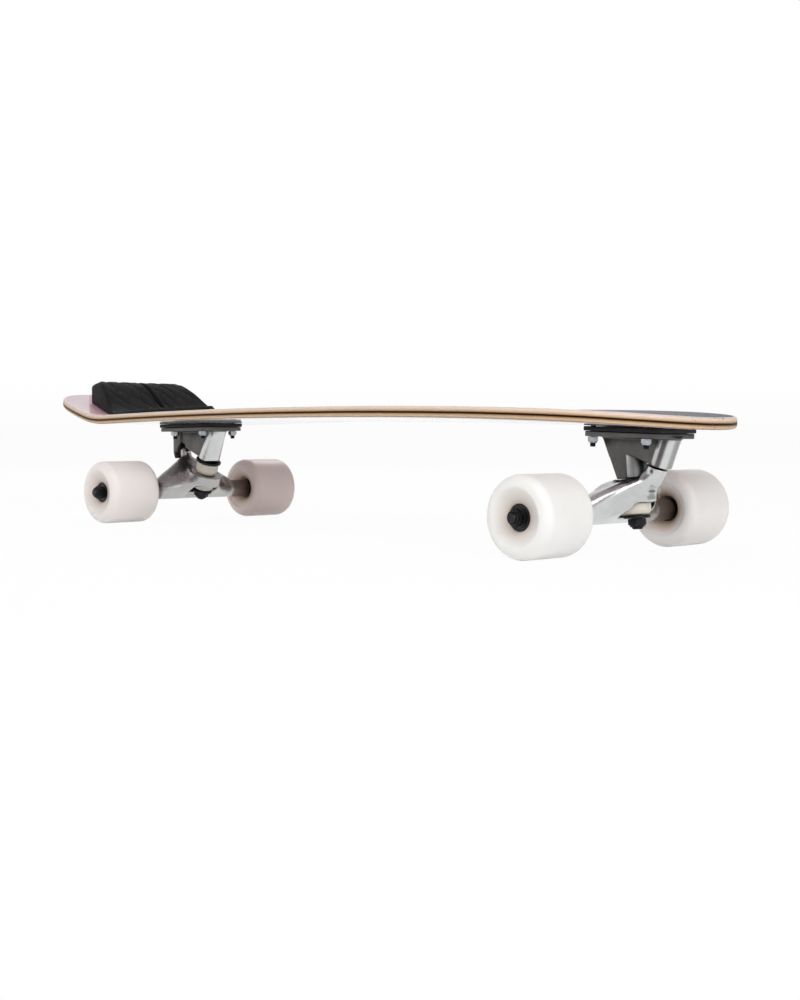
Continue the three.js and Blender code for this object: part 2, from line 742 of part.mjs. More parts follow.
function lockNut(base, direction, start, form, bore) {
  const toward = start < 0 ? -1 : 1;
  const collar = form.flats / 2;
  const hex = toward > 0
    ? hexagon(base, direction, start, form.height - form.dome, form.flats)
    : hexagon(base, direction, start - form.height + form.dome, form.height - form.dome, form.flats);
  const low = toward > 0 ? start : start - form.height;
  const top = rod(base, direction, low, low + form.height, collar - form.dome / 2, smallSides);
  const hole = rod(base, direction, low - overrun, low + form.height + overrun, bore / 2 + gap);
  return cut(join(hex, top), hole);
}

// One section of a hanger: the hull of round bars, walked by the direction that each point faces
function hullRing(bars, y) {
  const ring = [];
  for (let i = 0; i < hullSides; i += 1) {
    const angle = -2 * PI * i / hullSides;
    const [dx, dz] = [cos(angle), sin(angle)];
    const reach = (bar) => bar.x * dx + bar.z * dz + bar.radius;
    const bar = bars.reduce((best, next) => (reach(next) > reach(best) ? next : best));
    ring.push(new THREE.Vector3(bar.x + bar.radius * dx, y, bar.z + bar.radius * dz));
  }
  return ring;
}

const hangerReach = trackWidth / 2 - wheelWidth / 2 + innerBearingDepth - gap;

function hangerCasting(spread, bars, shares) {
  const stations = [];
  const barAt = (bar, share) => ({
    x: bar.x * share,
    z: bar.z * share,
    radius: bar.radius * share + barrelRadius * barFootShare * (1 - share),
  });
  const barrel = { x: 0, z: 0, radius: barrelRadius };
  for (const side of [-1, 1]) {
    const half = spanShares.map((span, i) => ({
      y: side * span * spread,
      bars: [barrel, ...bars.map((bar, k) => barAt(bar, shares[k][i]))],
    }));
    half.push({ y: side * (hangerReach - barrelReach), bars: [barrel] });
    if (side < 0) stations.push(...half.reverse());
    else stations.push(...half.slice(1));
  }
  return loft(stations.map(({ y, bars }) => hullRing(bars, y)));
}

// Room over or under the ring for bushing, washer and casting, wider across the board for the hanger's swing
function swayRoom(truck, frame, radius, sway, start, end) {
  const plan = roundedPlan(-radius, radius, radius + sway, radius);
  const depth = end - start;
  const geometry = new THREE.ExtrudeGeometry(plan, { depth, bevelEnabled: false, curveSegments: cupSteps });
  geometry.translate(0, 0, start);
  geometry.rotateY(truck.kingpinTilt);
  geometry.translate(frame.ringCentre.x, 0, frame.ringCentre.z);
  return toSolid(geometry);
}

function hangerBody(truck, frame, casting, neckAxis) {
  const barrelEnd = hangerReach - barrelReach;
  const { ringCentre, kingpin } = frame;
  const { ring, pivot } = truck;
  const ringHalf = ring.thickness / 2;
  const collar = rod(ringCentre, kingpin, -ringHalf, ringHalf, ring.radius, roundSides + lipSteps);
  const middle = new THREE.Vector3(0, 0, 0);
  const facing = rod(middle, acrossAxis, -barrelEnd - barrelReach, barrelEnd + barrelReach, facingRadius);
  const upperRoom = swayRoom(truck, frame, truck.upperRoom, truck.upperSway, ringHalf, truck.height);
  const lowerDepth = -frame.nut + kingpinNut.height + overrun * 2;
  const lowerRoom = swayRoom(truck, frame, truck.lowerRoom, truck.lowerSway, -lowerDepth, -ringHalf);
  const body = cut(join(casting, collar, facing), upperRoom, lowerRoom);
  const stub = domed(pivotPoint(truck), neckAxis, -pivot.ball * 3, pivot.neck, pivot.neck, pivot.ball);
  const hole = rod(ringCentre, kingpin, -ring.thickness, ring.thickness, ring.hole, roundSides);
  const axleBore = rod(middle, acrossAxis, -trackWidth, trackWidth, axleDiameter / 2 + gap);
  return cut(join(body, stub), hole, axleBore);
}

// Wheels: profile distances run from the wheel's middle, the outer face positive

function wheelBody(centreY, side) {
  const half = wheelWidth / 2;
  const seat = bearing.outer / 2 + gap / 2;
  const outerFace = half - outerBearingDepth;
  const innerFace = half - innerBearingDepth;
  const lipArc = (end) => {
    const points = [];
    for (let step = 0; step <= lipSteps; step += 1) {
      const angle = PI / 2 * step / lipSteps;
      const radius = wheelRadius - wheelLip + wheelLip * cos(angle);
      points.push([radius, end * (half - wheelLip + wheelLip * sin(angle))]);
    }
    return points;
  };
  const profile = [
    ...lipArc(-1).reverse(), ...lipArc(1),
    [wheelMouthRadius, half - wheelDish], [seat, outerFace],
    [seat, outerFace - bearing.width - gap], [seat - wheelShoulder, outerFace - bearing.width - gap],
    [seat - wheelShoulder, bearing.width + gap - innerFace], [seat, bearing.width + gap - innerFace],
    [seat, -innerFace], [wheelBackRadius, wheelDish - half],
  ];
  profile.push(profile[0]);
  return turned(profile, wheelSides, new THREE.Vector3(0, centreY, 0), new THREE.Vector3(0, side, 0));
}

function bearingBody(centre, outward) {
  const { outer, inner, width, shield, ring, hub } = bearing;
  const half = width / 2;
  const profile = [
    [inner / 2 + slide, -half], [outer / 2, -half],
    [outer / 2, half], [outer / 2 - ring, half], [outer / 2 - ring - shield, half - shield],
    [inner / 2 + hub, half - shield], [inner / 2 + slide, half],
  ];
  profile.push(profile[0]);
  return turned(profile, bearingSides, centre, outward);
}

// Finishes

const finish = (color, roughness, metalness = 0) => () =>
  new THREE.MeshStandardMaterial({ color, roughness, metalness });
const finishes = {
  maple: finish('#d9b48c', 0.5),
  foam: finish('#26262a', 0.85),
  rubber: finish('#121214', 0.7),
  satinCasting: finish('#6e6c6b', 0.45, 0.9),
  polishedCasting: finish('#c4c2c4', 0.22, 1),
  steel: finish('#a8a9ad', 0.3, 1),
  blackSteel: finish('#17171a', 0.4, 0.7),
  bushing: finish('#e4dfd2', 0.45),
  cup: finish('#2b2b2e', 0.5),
  urethane: finish('#f2f0ec', 0.35),
  zinc: finish('#b9bcc2', 0.35, 1),
};

const board = new THREE.Group();

function place(name, solid, material, parent = board) {
  const mesh = new THREE.Mesh(toGeometry(solid), finishes[material]());
  mesh.name = name;
  parent.add(mesh);
  return mesh;
}

function truckGroup(axleX, tilt) {
  const group = new THREE.Group();
  group.position.set(axleX, 0, wheelRadius);
  group.rotation.y = tilt;
  group.updateMatrix();
  board.add(group);
  return group;
}
const frontGroup = truckGroup(frontAxleX, camber.frontTilt);
const rearGroup = truckGroup(rearAxleX, camber.rearTilt);

// Deck, drilled square to each truck's plate, with countersinks for the bolt heads
function drillDeck(body, truck, group) {
  const seat = seatHeight(truck);
  const headTop = seat + deckThickness;
  const drills = boltPlaces(truck).flatMap((spot) => [
    rod(spot, up, seat - overrun, headTop + overrun, boltDiameter / 2 + slide, boltSides),
    rod(spot, up, headTop - boltHead.depth - gap, headTop + overrun, boltDiameter / 2 + slide, boltSides,
      boltHead.radius + gap + (boltHead.radius - boltDiameter / 2) * (overrun + gap) / boltHead.depth),
  ]);
  return cut(body, ...drills.map((drill) => drill.transform(group.matrix.toArray())));
}
place('deck', drillDeck(drillDeck(deckBody(), frontTruck, frontGroup), rearTruck, rearGroup), 'maple');
place('tail_pad_left', padHalf(1), 'foam');
place('tail_pad_right', padHalf(-1), 'foam');

// Countersunk bolt with its nut tightened under the plate
function mountBolt(truck, spot) {
  const headTop = seatHeight(truck) + deckThickness;
  const nutTop = truck.height - plateThickness - gap;
  const shaft = rod(spot, up, nutTop - boltNut.height - boltEnd, headTop, boltDiameter / 2, boltSides);
  const head = turned([
    [0, headTop - boltHead.depth], [boltDiameter / 2, headTop - boltHead.depth],
    [boltHead.radius, headTop], [0, headTop],
  ], boltSides, spot, up);
  return join(shaft, head, hexagon(spot, up, nutTop - boltNut.height, boltNut.height, boltNut.flats));
}

function buildTruck(truck, group, baseplate, cupAxis, hanger) {
  const frame = truckFrame(truck);
  const { name } = truck;
  const add = (label, solid, material) => place(`${name}_${label}`, solid, material, group);
  add('riser', riserBody(truck), 'rubber');
  add('baseplate', baseplate(truck, frame), 'satinCasting');
  add('pivot_cup', pivotCup(truck, cupAxis), 'cup');
  add('kingpin', kingpinBody(truck, frame), 'blackSteel');
  const kingpinNutBody = lockNut(frame.ringCentre, frame.kingpin, frame.nut, kingpinNut, kingpinDiameter);
  add('kingpin_nut', kingpinNutBody, 'blackSteel');
  add('upper_bushing', bushing(truck.upperBushing, frame.upperBushing, false, frame), 'bushing');
  add('lower_bushing', bushing(truck.lowerBushing, frame.lowerBushing, true, frame), 'bushing');
  add('upper_washer', cupWasher(truck.upperWasher, frame.upperWasher, false, frame), 'blackSteel');
  add('lower_washer', cupWasher(truck.lowerWasher, frame.lowerWasher, true, frame), 'blackSteel');
  add('hanger', hanger(truck, frame), 'polishedCasting');
  boltPlaces(truck).forEach((spot, i) => add(`deck_bolt_${i + 1}`, mountBolt(truck, spot), 'zinc'));

  const middle = new THREE.Vector3(0, 0, 0);
  const outerFace = trackWidth / 2 + wheelWidth / 2 - outerBearingDepth;
  const innerFace = trackWidth / 2 - wheelWidth / 2 + innerBearingDepth;
  const nutStart = outerFace + gap + speedWasher.thickness + gap;
  const axleHalf = nutStart + axleNut.height + axleEnd;
  add('axle', turned([
    [0, -axleHalf], [axleDiameter / 2 - axleEnd / 2, -axleHalf], [axleDiameter / 2, axleEnd - axleHalf],
    [axleDiameter / 2, axleHalf - axleEnd], [axleDiameter / 2 - axleEnd / 2, axleHalf], [0, axleHalf],
  ], smallSides, middle, acrossAxis), 'steel');

  for (const [hand, side] of [['left', 1], ['right', -1]]) {
    const outward = new THREE.Vector3(0, side, 0);
    const put = (label, solid, material) => add(`${hand}_${label}`, solid, material);
    const boreRadius = axleDiameter / 2 + gap;
    put('wheel', wheelBody(side * trackWidth / 2, side), 'urethane');
    const bearingAt = (face) => new THREE.Vector3(0, side * face, 0);
    put('outer_bearing', bearingBody(bearingAt(outerFace - bearing.width / 2), outward), 'blackSteel');
    put('inner_bearing', bearingBody(bearingAt(innerFace + bearing.width / 2), outward), 'blackSteel');
    put('bearing_spacer', ringOf(spacerRadius, boreRadius, innerFace + bearing.width + gap,
      outerFace - bearing.width - gap, middle, outward, smallSides), 'steel');
    put('axle_washer', ringOf(speedWasher.radius, boreRadius, outerFace + gap,
      outerFace + gap + speedWasher.thickness, middle, outward, smallSides), 'steel');
    put('axle_nut', lockNut(middle, outward, nutStart, axleNut, axleDiameter), 'blackSteel');
  }
}

// The front arm ends round under the seam of its casting
function frontHangerBody(truck, frame) {
  const boss = lean(frontTower.bossTilt);
  const seam = -frontTower.seam - frontTower.seamGap;
  const pivot = pivotPoint(truck);
  const above = rod(pivot, boss, seam, truck.height, truck.height, smallSides);
  const end = rod(pivot, boss, seam - armEnd.length, seam + bond, armEnd.foot, roundSides, armEnd.radius);
  const bars = [frontArm, frontSpine, frontBay];
  const casting = hangerCasting(frontSpread, bars, [frontArmShares, frontSpineShares, frontBayShares]);
  return hangerBody(truck, frame, cut(join(casting, end), above), boss);
}

// The rear horn stands up from its web and ends round, where the stub leaves along the steering axis
function rearHangerBody(truck, frame) {
  const tip = along(pivotPoint(truck), frame.steer, -horn.reach);
  const root = at(rearArm.x, rearArm.z);
  const stem = tip.clone().sub(root);
  const start = -stem.length();
  const bar = domed(tip, stem.normalize(), start, rearArm.radius, horn.tip, horn.tip);
  const bars = [rearArm, rearSpine, rearBay];
  const casting = hangerCasting(rearSpread, bars, [rearArmShares, rearSpineShares, rearBayShares]);
  return hangerBody(truck, frame, join(casting, bar), frame.steer);
}

buildTruck(frontTruck, frontGroup, frontBaseplate, lean(frontTower.bossTilt), frontHangerBody);
buildTruck(rearTruck, rearGroup, rearBaseplate, truckFrame(rearTruck).steer, rearHangerBody);

export default board;
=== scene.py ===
# Surf skateboard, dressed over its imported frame. Lengths are millimetres until a mesh is made.
import json
import math

import bmesh
import bpy
import numpy as np
from mathutils import Matrix, Vector

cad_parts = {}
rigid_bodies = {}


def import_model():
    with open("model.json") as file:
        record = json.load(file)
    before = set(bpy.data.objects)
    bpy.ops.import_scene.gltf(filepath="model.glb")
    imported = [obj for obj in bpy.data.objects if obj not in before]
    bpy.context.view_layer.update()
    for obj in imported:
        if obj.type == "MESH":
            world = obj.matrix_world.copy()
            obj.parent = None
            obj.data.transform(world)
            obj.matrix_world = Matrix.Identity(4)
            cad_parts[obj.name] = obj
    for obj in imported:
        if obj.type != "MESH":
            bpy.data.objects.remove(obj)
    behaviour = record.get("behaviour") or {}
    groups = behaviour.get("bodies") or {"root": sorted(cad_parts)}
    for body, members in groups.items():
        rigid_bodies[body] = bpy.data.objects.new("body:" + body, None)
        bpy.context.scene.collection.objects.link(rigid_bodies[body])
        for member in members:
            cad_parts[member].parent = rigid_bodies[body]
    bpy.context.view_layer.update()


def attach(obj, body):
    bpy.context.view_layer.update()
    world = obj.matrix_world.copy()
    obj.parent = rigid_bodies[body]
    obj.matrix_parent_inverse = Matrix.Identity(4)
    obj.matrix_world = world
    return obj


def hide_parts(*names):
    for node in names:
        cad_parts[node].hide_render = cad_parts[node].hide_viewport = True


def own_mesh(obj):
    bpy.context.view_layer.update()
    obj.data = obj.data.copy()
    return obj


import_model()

MILLIMETRE = 0.001
TURN = 2 * math.pi

# Sizes shared with the part's source
gap = 0.3
slide = 0.2
deck_length, deck_width, deck_thickness, deck_edge = 918, 235, 10, 3
deck_widest, camber_radius, concave_depth = 82, 12800, 5.4
kick_length, kick_angle, kick_blend = 187, math.radians(11.9), 55
nose_blunt, nose_shoulder, tail_blunt, tail_shoulder = 1.0, 0.59, 0.73, 0.8
pad_thickness, pad_glue, pad_split, pad_inset = 3.6, 0.6, 7, 2.5
pad_back, pad_point, pad_length, pad_corner, pad_shoulder = 68, 22, 345, 44, 185
pad_notch, pad_tip, pad_nose_round, pad_lip = 150, 12, 14, 1.2
kick_pad_height, kick_pad_run, kick_pad_ramp, kick_pad_fall, kick_pad_rake = 25, 34, 70, 2.4, 3.6
wheelbase, nose_to_axle, track_width = 602.6, 98.7, 195.5
wheel_diameter, wheel_width, wheel_lip, wheel_dish = 68, 61.4, 9, 1.5
wheel_mouth, wheel_back, wheel_shoulder = 17.3, 21.5, 2.6
outer_bearing_depth, inner_bearing_depth = 5.8, 9.5
bearing_outer, bearing_inner, bearing_width = 22, 8, 7
axle_diameter, axle_end = 8, 1.6
axle_nut_flats, axle_nut_height, axle_nut_dome = 12.7, 7.4, 2.2
washer_radius, washer_thickness, spacer_radius = 6.6, 1, 5.1
bolt_spacing, bolt_gauge, bolt_diameter = 53.98, 41.28, 4.8
bolt_head_radius, bolt_head_depth, bolt_nut_flats, bolt_nut_height, bolt_end = 4.8, 2.6, 8.2, 5.2, 3.2
riser_thickness, riser_margin, plate_thickness, plate_width = 3.7, 1, 4.3, 54
kingpin_diameter, kingpin_end = 9.5, 1.8
kingpin_head_radius, kingpin_head_height, kingpin_head_roof = 5.9, 5.5, 1.8
kingpin_nut_flats, kingpin_nut_height, kingpin_nut_dome = 14.3, 7, 1.6
bushing_hole, cup_wall = 0.5, 1.6
barrel_radius, barrel_reach, facing_radius = 9.6, 2.3, 6.2

half_length, half_deck, wheel_radius = deck_length / 2, deck_width / 2, wheel_diameter / 2
front_axle_x = half_length - nose_to_axle
rear_axle_x = front_axle_x - wheelbase
hanger_reach = track_width / 2 - wheel_width / 2 + inner_bearing_depth - gap


def at(x, z):
    return np.array((x, 0.0, z))


def lean(tilt):
    """An upward direction that leans forward by an angle."""
    return np.array((math.sin(tilt), 0.0, math.cos(tilt)))


def unit(vector):
    return np.asarray(vector, float) / np.linalg.norm(vector)


# A truck's frame starts at the middle of its axle, with x forward and z up. Bushings: height, then radius
# at the ring, at the waist and at the far end. Washers: radius, thickness and lip. The room round a bushing
# is a radius, and the sway makes it longer across the board.
# Each truck's least raw share also paints shade over its whole hanger, most on the rear one
FRONT = dict(
    name="front", axle_x=front_axle_x, height=67.7, back=-15.2, front=59.8, corner=4, bolts=17.4,
    centre=at(21.1, 13.7), ring_radius=17, ring_thickness=9, ring_hole=7.6, blend=2.2,
    tilt=math.radians(-6.6), kingpin_length=44.4, plate_bore=48,
    pivot=at(44.4, 47), ball=6, neck=4.2, mouth=3.2, wing_spread=47, least_raw_and_shade=0,
    upper=dict(sign=1, bushing=(8.5, 11, 12, 11.5), washer=(11.8, 2, 1.4), room=14.2, sway=5, keep=0.72),
    lower=dict(sign=-1, bushing=(9.4, 12, 12.2, 10), washer=(11.3, 3, 1.6), room=13.2, sway=4, keep=0.62),
)
REAR = dict(
    name="rear", axle_x=rear_axle_x, height=71.5, back=-30.8, front=60.2, corner=8, bolts=20.5,
    centre=at(21.8, 14.3), ring_radius=19, ring_thickness=11.5, ring_hole=8.2, blend=5.5,
    tilt=math.radians(21.5), kingpin_length=50.5, plate_bore=54,
    pivot=at(-21.5, 49.5), ball=4.6, neck=4.6, mouth=1, wing_spread=54, least_raw_and_shade=0.35,
    upper=dict(sign=1, bushing=(12.2, 11, 12.4, 12), washer=(14.3, 3, 2), room=14.8, sway=1, keep=0.62),
    lower=dict(sign=-1, bushing=(7.6, 11.5, 11.8, 9.6), washer=(11, 3, 1.6), room=12.2, sway=5.8, keep=0.44),
)
FRONT_BOSS_TILT = math.radians(19)
SEAT_ROUNDS = 8


def seat_height(truck):
    return truck["height"] + gap + riser_thickness + gap


def seat_deck():
    """The trucks stand square to the cambered deck: its height and their tilts, found together."""
    tilts = {"front": 0.0, "rear": 0.0}
    middle = top = 0.0
    for _ in range(SEAT_ROUNDS):
        seats = []
        for truck in (FRONT, REAR):
            tilt, seat, bolts = tilts[truck["name"]], seat_height(truck), truck["bolts"]
            seats.append((
                truck["axle_x"] + bolts * math.cos(tilt) + seat * math.sin(tilt),
                wheel_radius - bolts * math.sin(tilt) + seat * math.cos(tilt),
            ))
        (fx, fz), (rx, rz) = seats
        middle = (fx + rx) / 2 + (fz - rz) / (fx - rx) * camber_radius
        top = fz + (fx - middle) ** 2 / (2 * camber_radius)
        tilts = {name: math.atan((x - middle) / camber_radius) for name, x in (("front", fx), ("rear", rx))}
    return tilts, middle, top


truck_tilts, camber_middle, camber_top = seat_deck()
for truck in (FRONT, REAR):
    tilted = Matrix.Rotation(truck_tilts[truck["name"]], 4, "Y")
    truck["matrix"] = Matrix.Translation((truck["axle_x"], 0, wheel_radius)) @ tilted
    truck["kingpin"] = lean(truck["tilt"])
    truck["steer"] = unit(truck["pivot"] - truck["centre"])
    # Where bushings and washers start along the kingpin, from the ring's middle
    for part in (truck["upper"], truck["lower"]):
        sign = part["sign"]
        part["start"] = sign * (truck["ring_thickness"] / 2 + gap)
        part["washer_start"] = part["start"] + sign * part["bushing"][0] + sign * gap
    truck["seat"] = truck["upper"]["washer_start"] + truck["upper"]["washer"][1] + gap
    truck["nut"] = truck["lower"]["washer_start"] - truck["lower"]["washer"][1] - gap
FRONT["cup_axis"] = lean(FRONT_BOSS_TILT)
REAR["cup_axis"] = REAR["steer"]


# Materials

def rgb(code):
    """A colour as it shows on screen, to the shader's linear values."""
    parts = [int(code[i:i + 2], 16) / 255 for i in (1, 3, 5)]
    return (*[p / 12.92 if p <= 0.04045 else ((p + 0.055) / 1.055) ** 2.4 for p in parts], 1)


class Nodes:
    """A node tree, built with short calls."""

    def __init__(self, tree):
        self.nodes, self.links = tree.nodes, tree.links

    def put(self, socket, value):
        if isinstance(value, bpy.types.NodeSocket):
            self.links.new(value, socket)
        else:
            socket.default_value = rgb(value) if isinstance(value, str) else value

    def fill(self, node, **values):
        for name, value in values.items():
            self.put(node.inputs[name.replace("_", " ")], value)

    def add(self, kind, output, **values):
        """A new node's output, with the node's inputs set or linked by name."""
        node = self.nodes.new("ShaderNode" + kind)
        self.fill(node, **values)
        return node.outputs[output]

    def noise(self, scale, detail=4.0, roughness=0.55, stretch=None, distortion=0.0):
        place = self.add("Mapping", "Vector", Vector=self.place, Scale=stretch) if stretch else self.place
        return self.add("TexNoise", "Fac", Vector=place, Scale=scale, Detail=detail, Roughness=roughness,
                        Distortion=distortion)

    def axis(self, name):
        return self.add("SeparateXYZ", name, Vector=self.place)

    def math(self, operation, *values):
        node = self.nodes.new("ShaderNodeMath")
        node.operation = operation
        for socket, value in zip(node.inputs, values):
            self.put(socket, value)
        return node.outputs[0]

    def spread(self, value, low, high, to_low=0.0, to_high=1.0):
        return self.add("MapRange", "Result", Value=value, From_Min=low, From_Max=high, To_Min=to_low,
                        To_Max=to_high)

    def ramp(self, value, stops):
        color = self.add("ValToRGB", "Color", Fac=value)
        elements = color.node.color_ramp.elements
        while len(elements) < len(stops):
            elements.new(0.5)
        for element, (position, tone) in zip(elements, stops):
            element.position = position
            element.color = rgb(tone) if isinstance(tone, str) else (tone, tone, tone, 1)
        return color

    def mix(self, share, a, b, blend="MIX"):
        node = self.nodes.new("ShaderNodeMix")
        node.data_type, node.blend_type = "RGBA", blend
        # The places of the colour sockets among the node's
        for index, value in ((0, share), (6, a), (7, b)):
            self.put(node.inputs[index], value)
        return node.outputs[2]


class Finish(Nodes):
    """A material's nodes round its shader."""

    def __init__(self, name, color, roughness, metallic=0.0, **sockets):
        self.material = bpy.data.materials.new(name)
        self.material.use_nodes = True
        super().__init__(self.material.node_tree)
        self.shader = self.nodes["Principled BSDF"]
        self.fill(self.shader, Base_Color=color, Roughness=roughness, Metallic=metallic, **sockets)
        self.place = self.add("TexCoord", "Object")

    def attribute(self, name):
        share = self.add("Attribute", "Fac")
        share.node.attribute_name = name
        return share

    def look(self, color, roughness):
        self.fill(self.shader, Base_Color=color, Roughness=roughness)

    def bump(self, height, strength, distance):
        normal = self.add("Bump", "Normal", Height=height, Strength=strength, Distance=distance)
        last = self.shader.inputs["Normal"]
        if last.is_linked:
            self.fill(normal.node, Normal=last.links[0].from_socket)
        self.put(last, normal)


def finish_edge():
    """Pressed plies seen from the side, with one near-black ply in the middle, and painted shade where the
    edge rounds under.
    """
    f = Finish("maple plies", "#d8c0aa", 0.5, Specular_IOR_Level=0.12)
    wander = f.noise(3, 3, 0.5, stretch=(6, 6, 1))
    depth = f.math("ADD", f.attribute("ply"), f.math("MULTIPLY", f.math("SUBTRACT", wander, 0.5), 0.05))
    # The dark stop near the bottom is painted shade on the lower rounding of the edge
    plies = f.ramp(depth, [
        (0.0, "#f8f0ec"), (0.07, "#e4d3c8"), (0.15, "#f1e1d6"), (0.28, "#e6cdb8"), (0.38, "#cdb08f"),
        (0.45, "#a98763"), (0.49, "#3f2a17"), (0.52, "#170b04"), (0.6, "#170b04"), (0.64, "#6b4f33"),
        (0.7, "#b8966f"), (0.79, "#dcbd99"), (0.88, "#e4ceb8"), (0.94, "#a3917f"), (1.0, "#d9ccc4"),
    ])
    grain = f.noise(40, 6, 0.7, stretch=(3, 3, 22))
    worn = f.mix(f.spread(grain, 0.35, 0.75, 0.0, 0.35), plies, f.mix(1.0, plies, "#c39d78", "MULTIPLY"))
    # A few dark marks at the tip of the nose
    marks = f.spread(f.noise(240, 3, 0.6), 0.6, 0.66)
    scuff = f.math("MULTIPLY", f.spread(f.axis("X"), 0.452, 0.458), marks)
    f.look(f.mix(f.math("MULTIPLY", scuff, 0.75), worn, "#5f4433"), f.spread(grain, 0.3, 0.7, 0.38, 0.58))
    f.bump(grain, 0.25, 0.0004)
    return f.material


def finish_top():
    """Lacquered colour wash from pale tail to dark nose, under clear grip, with painted shadow of the pad's
    kick beside the pad.
    """
    f = Finish("top print", "#d8c8c8", 0.5, Coat_Weight=0.08, Coat_Roughness=0.4, Specular_IOR_Level=0.3)
    cloud = f.noise(5, 5, 0.6, stretch=(1, 1.6, 1), distortion=0.6)
    along = f.math("ADD", f.axis("X"), f.math("MULTIPLY", f.math("SUBTRACT", cloud, 0.5), 0.07))
    wash = f.ramp(f.spread(along, -0.46, 0.46), [
        (0.0, "#c08c98"), (0.3, "#cba3aa"), (0.42, "#e0c9c6"), (0.55, "#d8bfc4"),
        (0.66, "#a897a6"), (0.74, "#6d6474"), (0.86, "#4a4554"), (1.0, "#3c3946"),
    ])
    # A pale wedge round the tail, with a rose one inside it that points at the tail. Its straight edge bounds
    # a painted shadow of the pad's kick: beside the pad, the rose of the wash stands for that shadow
    inward = f.math("SUBTRACT", 0.108, f.math("ABSOLUTE", f.axis("Y")))
    pad_shadow_edge = f.math("ADD", f.math("ADD", f.axis("X"), 0.29), f.math("MULTIPLY", inward, 1.64))
    pale = f.ramp(f.spread(pad_shadow_edge, -0.16, 0.0), [
        (0.0, "#bd929c"), (0.35, "#cfa9b2"), (0.75, "#e2cdd2"), (1.0, "#eadade"),
    ])
    rim = f.math("MULTIPLY", f.spread(f.axis("X"), -0.3, -0.45), 0.45)
    speck = f.noise(1500, 2, 0.6)
    f.look(f.mix(f.spread(pad_shadow_edge, -0.003, 0.001), f.mix(rim, pale, "#c59aa6"), wash),
           f.spread(speck, 0.35, 0.7, 0.34, 0.62))
    f.bump(speck, 0.25, 0.0002)
    return f.material


def finish_under():
    """Pale lacquered print, with soft patches of rose, lilac, sea green and peach by the trucks."""
    f = Finish("underside print", "#fbfafa", 0.35, Coat_Weight=1.0, Coat_Roughness=0.07)
    wash = f.ramp(f.noise(9, 4, 0.55, stretch=(1, 1.4, 1), distortion=0.9), [
        (0.3, "#8fb7ac"), (0.38, "#d8d2ce"), (0.45, "#cf9aa2"), (0.52, "#a9a0b2"), (0.58, "#efe8e8"),
        (0.66, "#e0ac96"), (0.74, "#cdb6c0"),
    ])
    place = f.axis("X")
    front = f.spread(f.math("ABSOLUTE", f.math("SUBTRACT", place, 0.41)), 0.06, 0.15, 1.0, 0.0)
    rear = f.spread(f.math("ABSOLUTE", f.math("ADD", place, 0.25)), 0.03, 0.14, 0.85, 0.0)
    fine = f.noise(60, 5, 0.7)
    patch = f.math("MULTIPLY", f.math("MAXIMUM", front, rear), f.spread(fine, 0.35, 0.75, 1.0, 0.55))
    base = f.ramp(f.noise(14, 4, 0.6), [(0.3, "#fcfafa"), (0.55, "#fefefe"), (0.75, "#fbf8f8")])
    f.look(f.mix(patch, base, wash), f.spread(fine, 0.3, 0.7, 0.28, 0.42))
    f.bump(f.noise(300, 3, 0.6, stretch=(0.15, 1, 1)), 0.12, 0.0002)
    return f.material


def finish_foam():
    f = Finish("pad foam", "#18181a", 0.88, Sheen_Weight=0.03, Sheen_Roughness=0.5, Specular_IOR_Level=0.2)
    mottle = f.noise(90, 5, 0.6)
    base = f.ramp(mottle, [(0.3, "#121213"), (0.6, "#18181a"), (0.8, "#212123")])
    # Painted shade in the moulded grooves, darker the deeper they are
    f.look(f.mix(f.spread(f.attribute("groove"), 0.15, 0.95, 0.0, 0.8), base, "#080809"),
           f.spread(mottle, 0.3, 0.7, 0.78, 0.94))
    f.bump(f.add("TexVoronoi", "Distance", Vector=f.place, Scale=1900), 0.35, 0.0002)
    f.bump(mottle, 0.15, 0.0006)
    return f.material


def finish_satin():
    """Tumbled dark casting, machined bright on its round nose or tube, where the front one also gets painted
    reflection bands and highlights.
    """
    f = Finish("satin casting", "#656261", 0.4, 1.0)
    grain = f.noise(900, 4, 0.65)
    mottle = f.noise(70, 5, 0.6)
    bright = f.attribute("bright")
    dark = f.ramp(mottle, [(0.3, "#5b5958"), (0.55, "#666463"), (0.8, "#747271")])
    metal = f.mix(bright, dark, f.ramp(mottle, [(0.3, "#cdcfcf"), (0.8, "#dadbdb")]))
    # The hollow share paints shade into the recesses in dark brown-grey, with a little grime
    f.look(f.mix(f.spread(f.attribute("hollow"), 0.1, 0.9, 0.0, 0.7), metal, "#2d2b2a"),
           f.math("SUBTRACT", f.spread(grain, 0.3, 0.7, 0.36, 0.48), f.math("MULTIPLY", bright, 0.12)))
    f.bump(grain, 0.12, 0.0001)
    f.bump(mottle, 0.05, 0.0008)
    return f.material


def finish_polished():
    """Bright casting, dull toward the ends of its barrel where it is left raw, and browner there with painted
    shade and reflection of the wheels.
    """
    f = Finish("polished casting", "#cccdcd", 0.2, 1.0)
    grain = f.noise(700, 4, 0.65, stretch=(1, 0.25, 1))
    mottle = f.noise(45, 5, 0.6)
    raw_and_shade = f.attribute("raw_and_shade")
    # The raw share: duller raw metal, and brown-grey as painted shade and reflection of the wheels
    metal = f.mix(raw_and_shade, f.ramp(mottle, [(0.3, "#c2c4c4"), (0.55, "#cecfcf"), (0.8, "#dadbdb")]), "#80756f")
    # The hollow share paints shade into the recesses in dark reddish grey, with a little grime
    f.look(f.mix(f.spread(f.attribute("hollow"), 0.15, 0.95, 0.0, 0.8), metal, "#3a3333"),
           f.math("ADD", f.spread(grain, 0.3, 0.7, 0.17, 0.28), f.math("MULTIPLY", raw_and_shade, 0.22)))
    f.bump(grain, 0.06, 0.0001)
    f.bump(mottle, 0.06, 0.001)
    return f.material


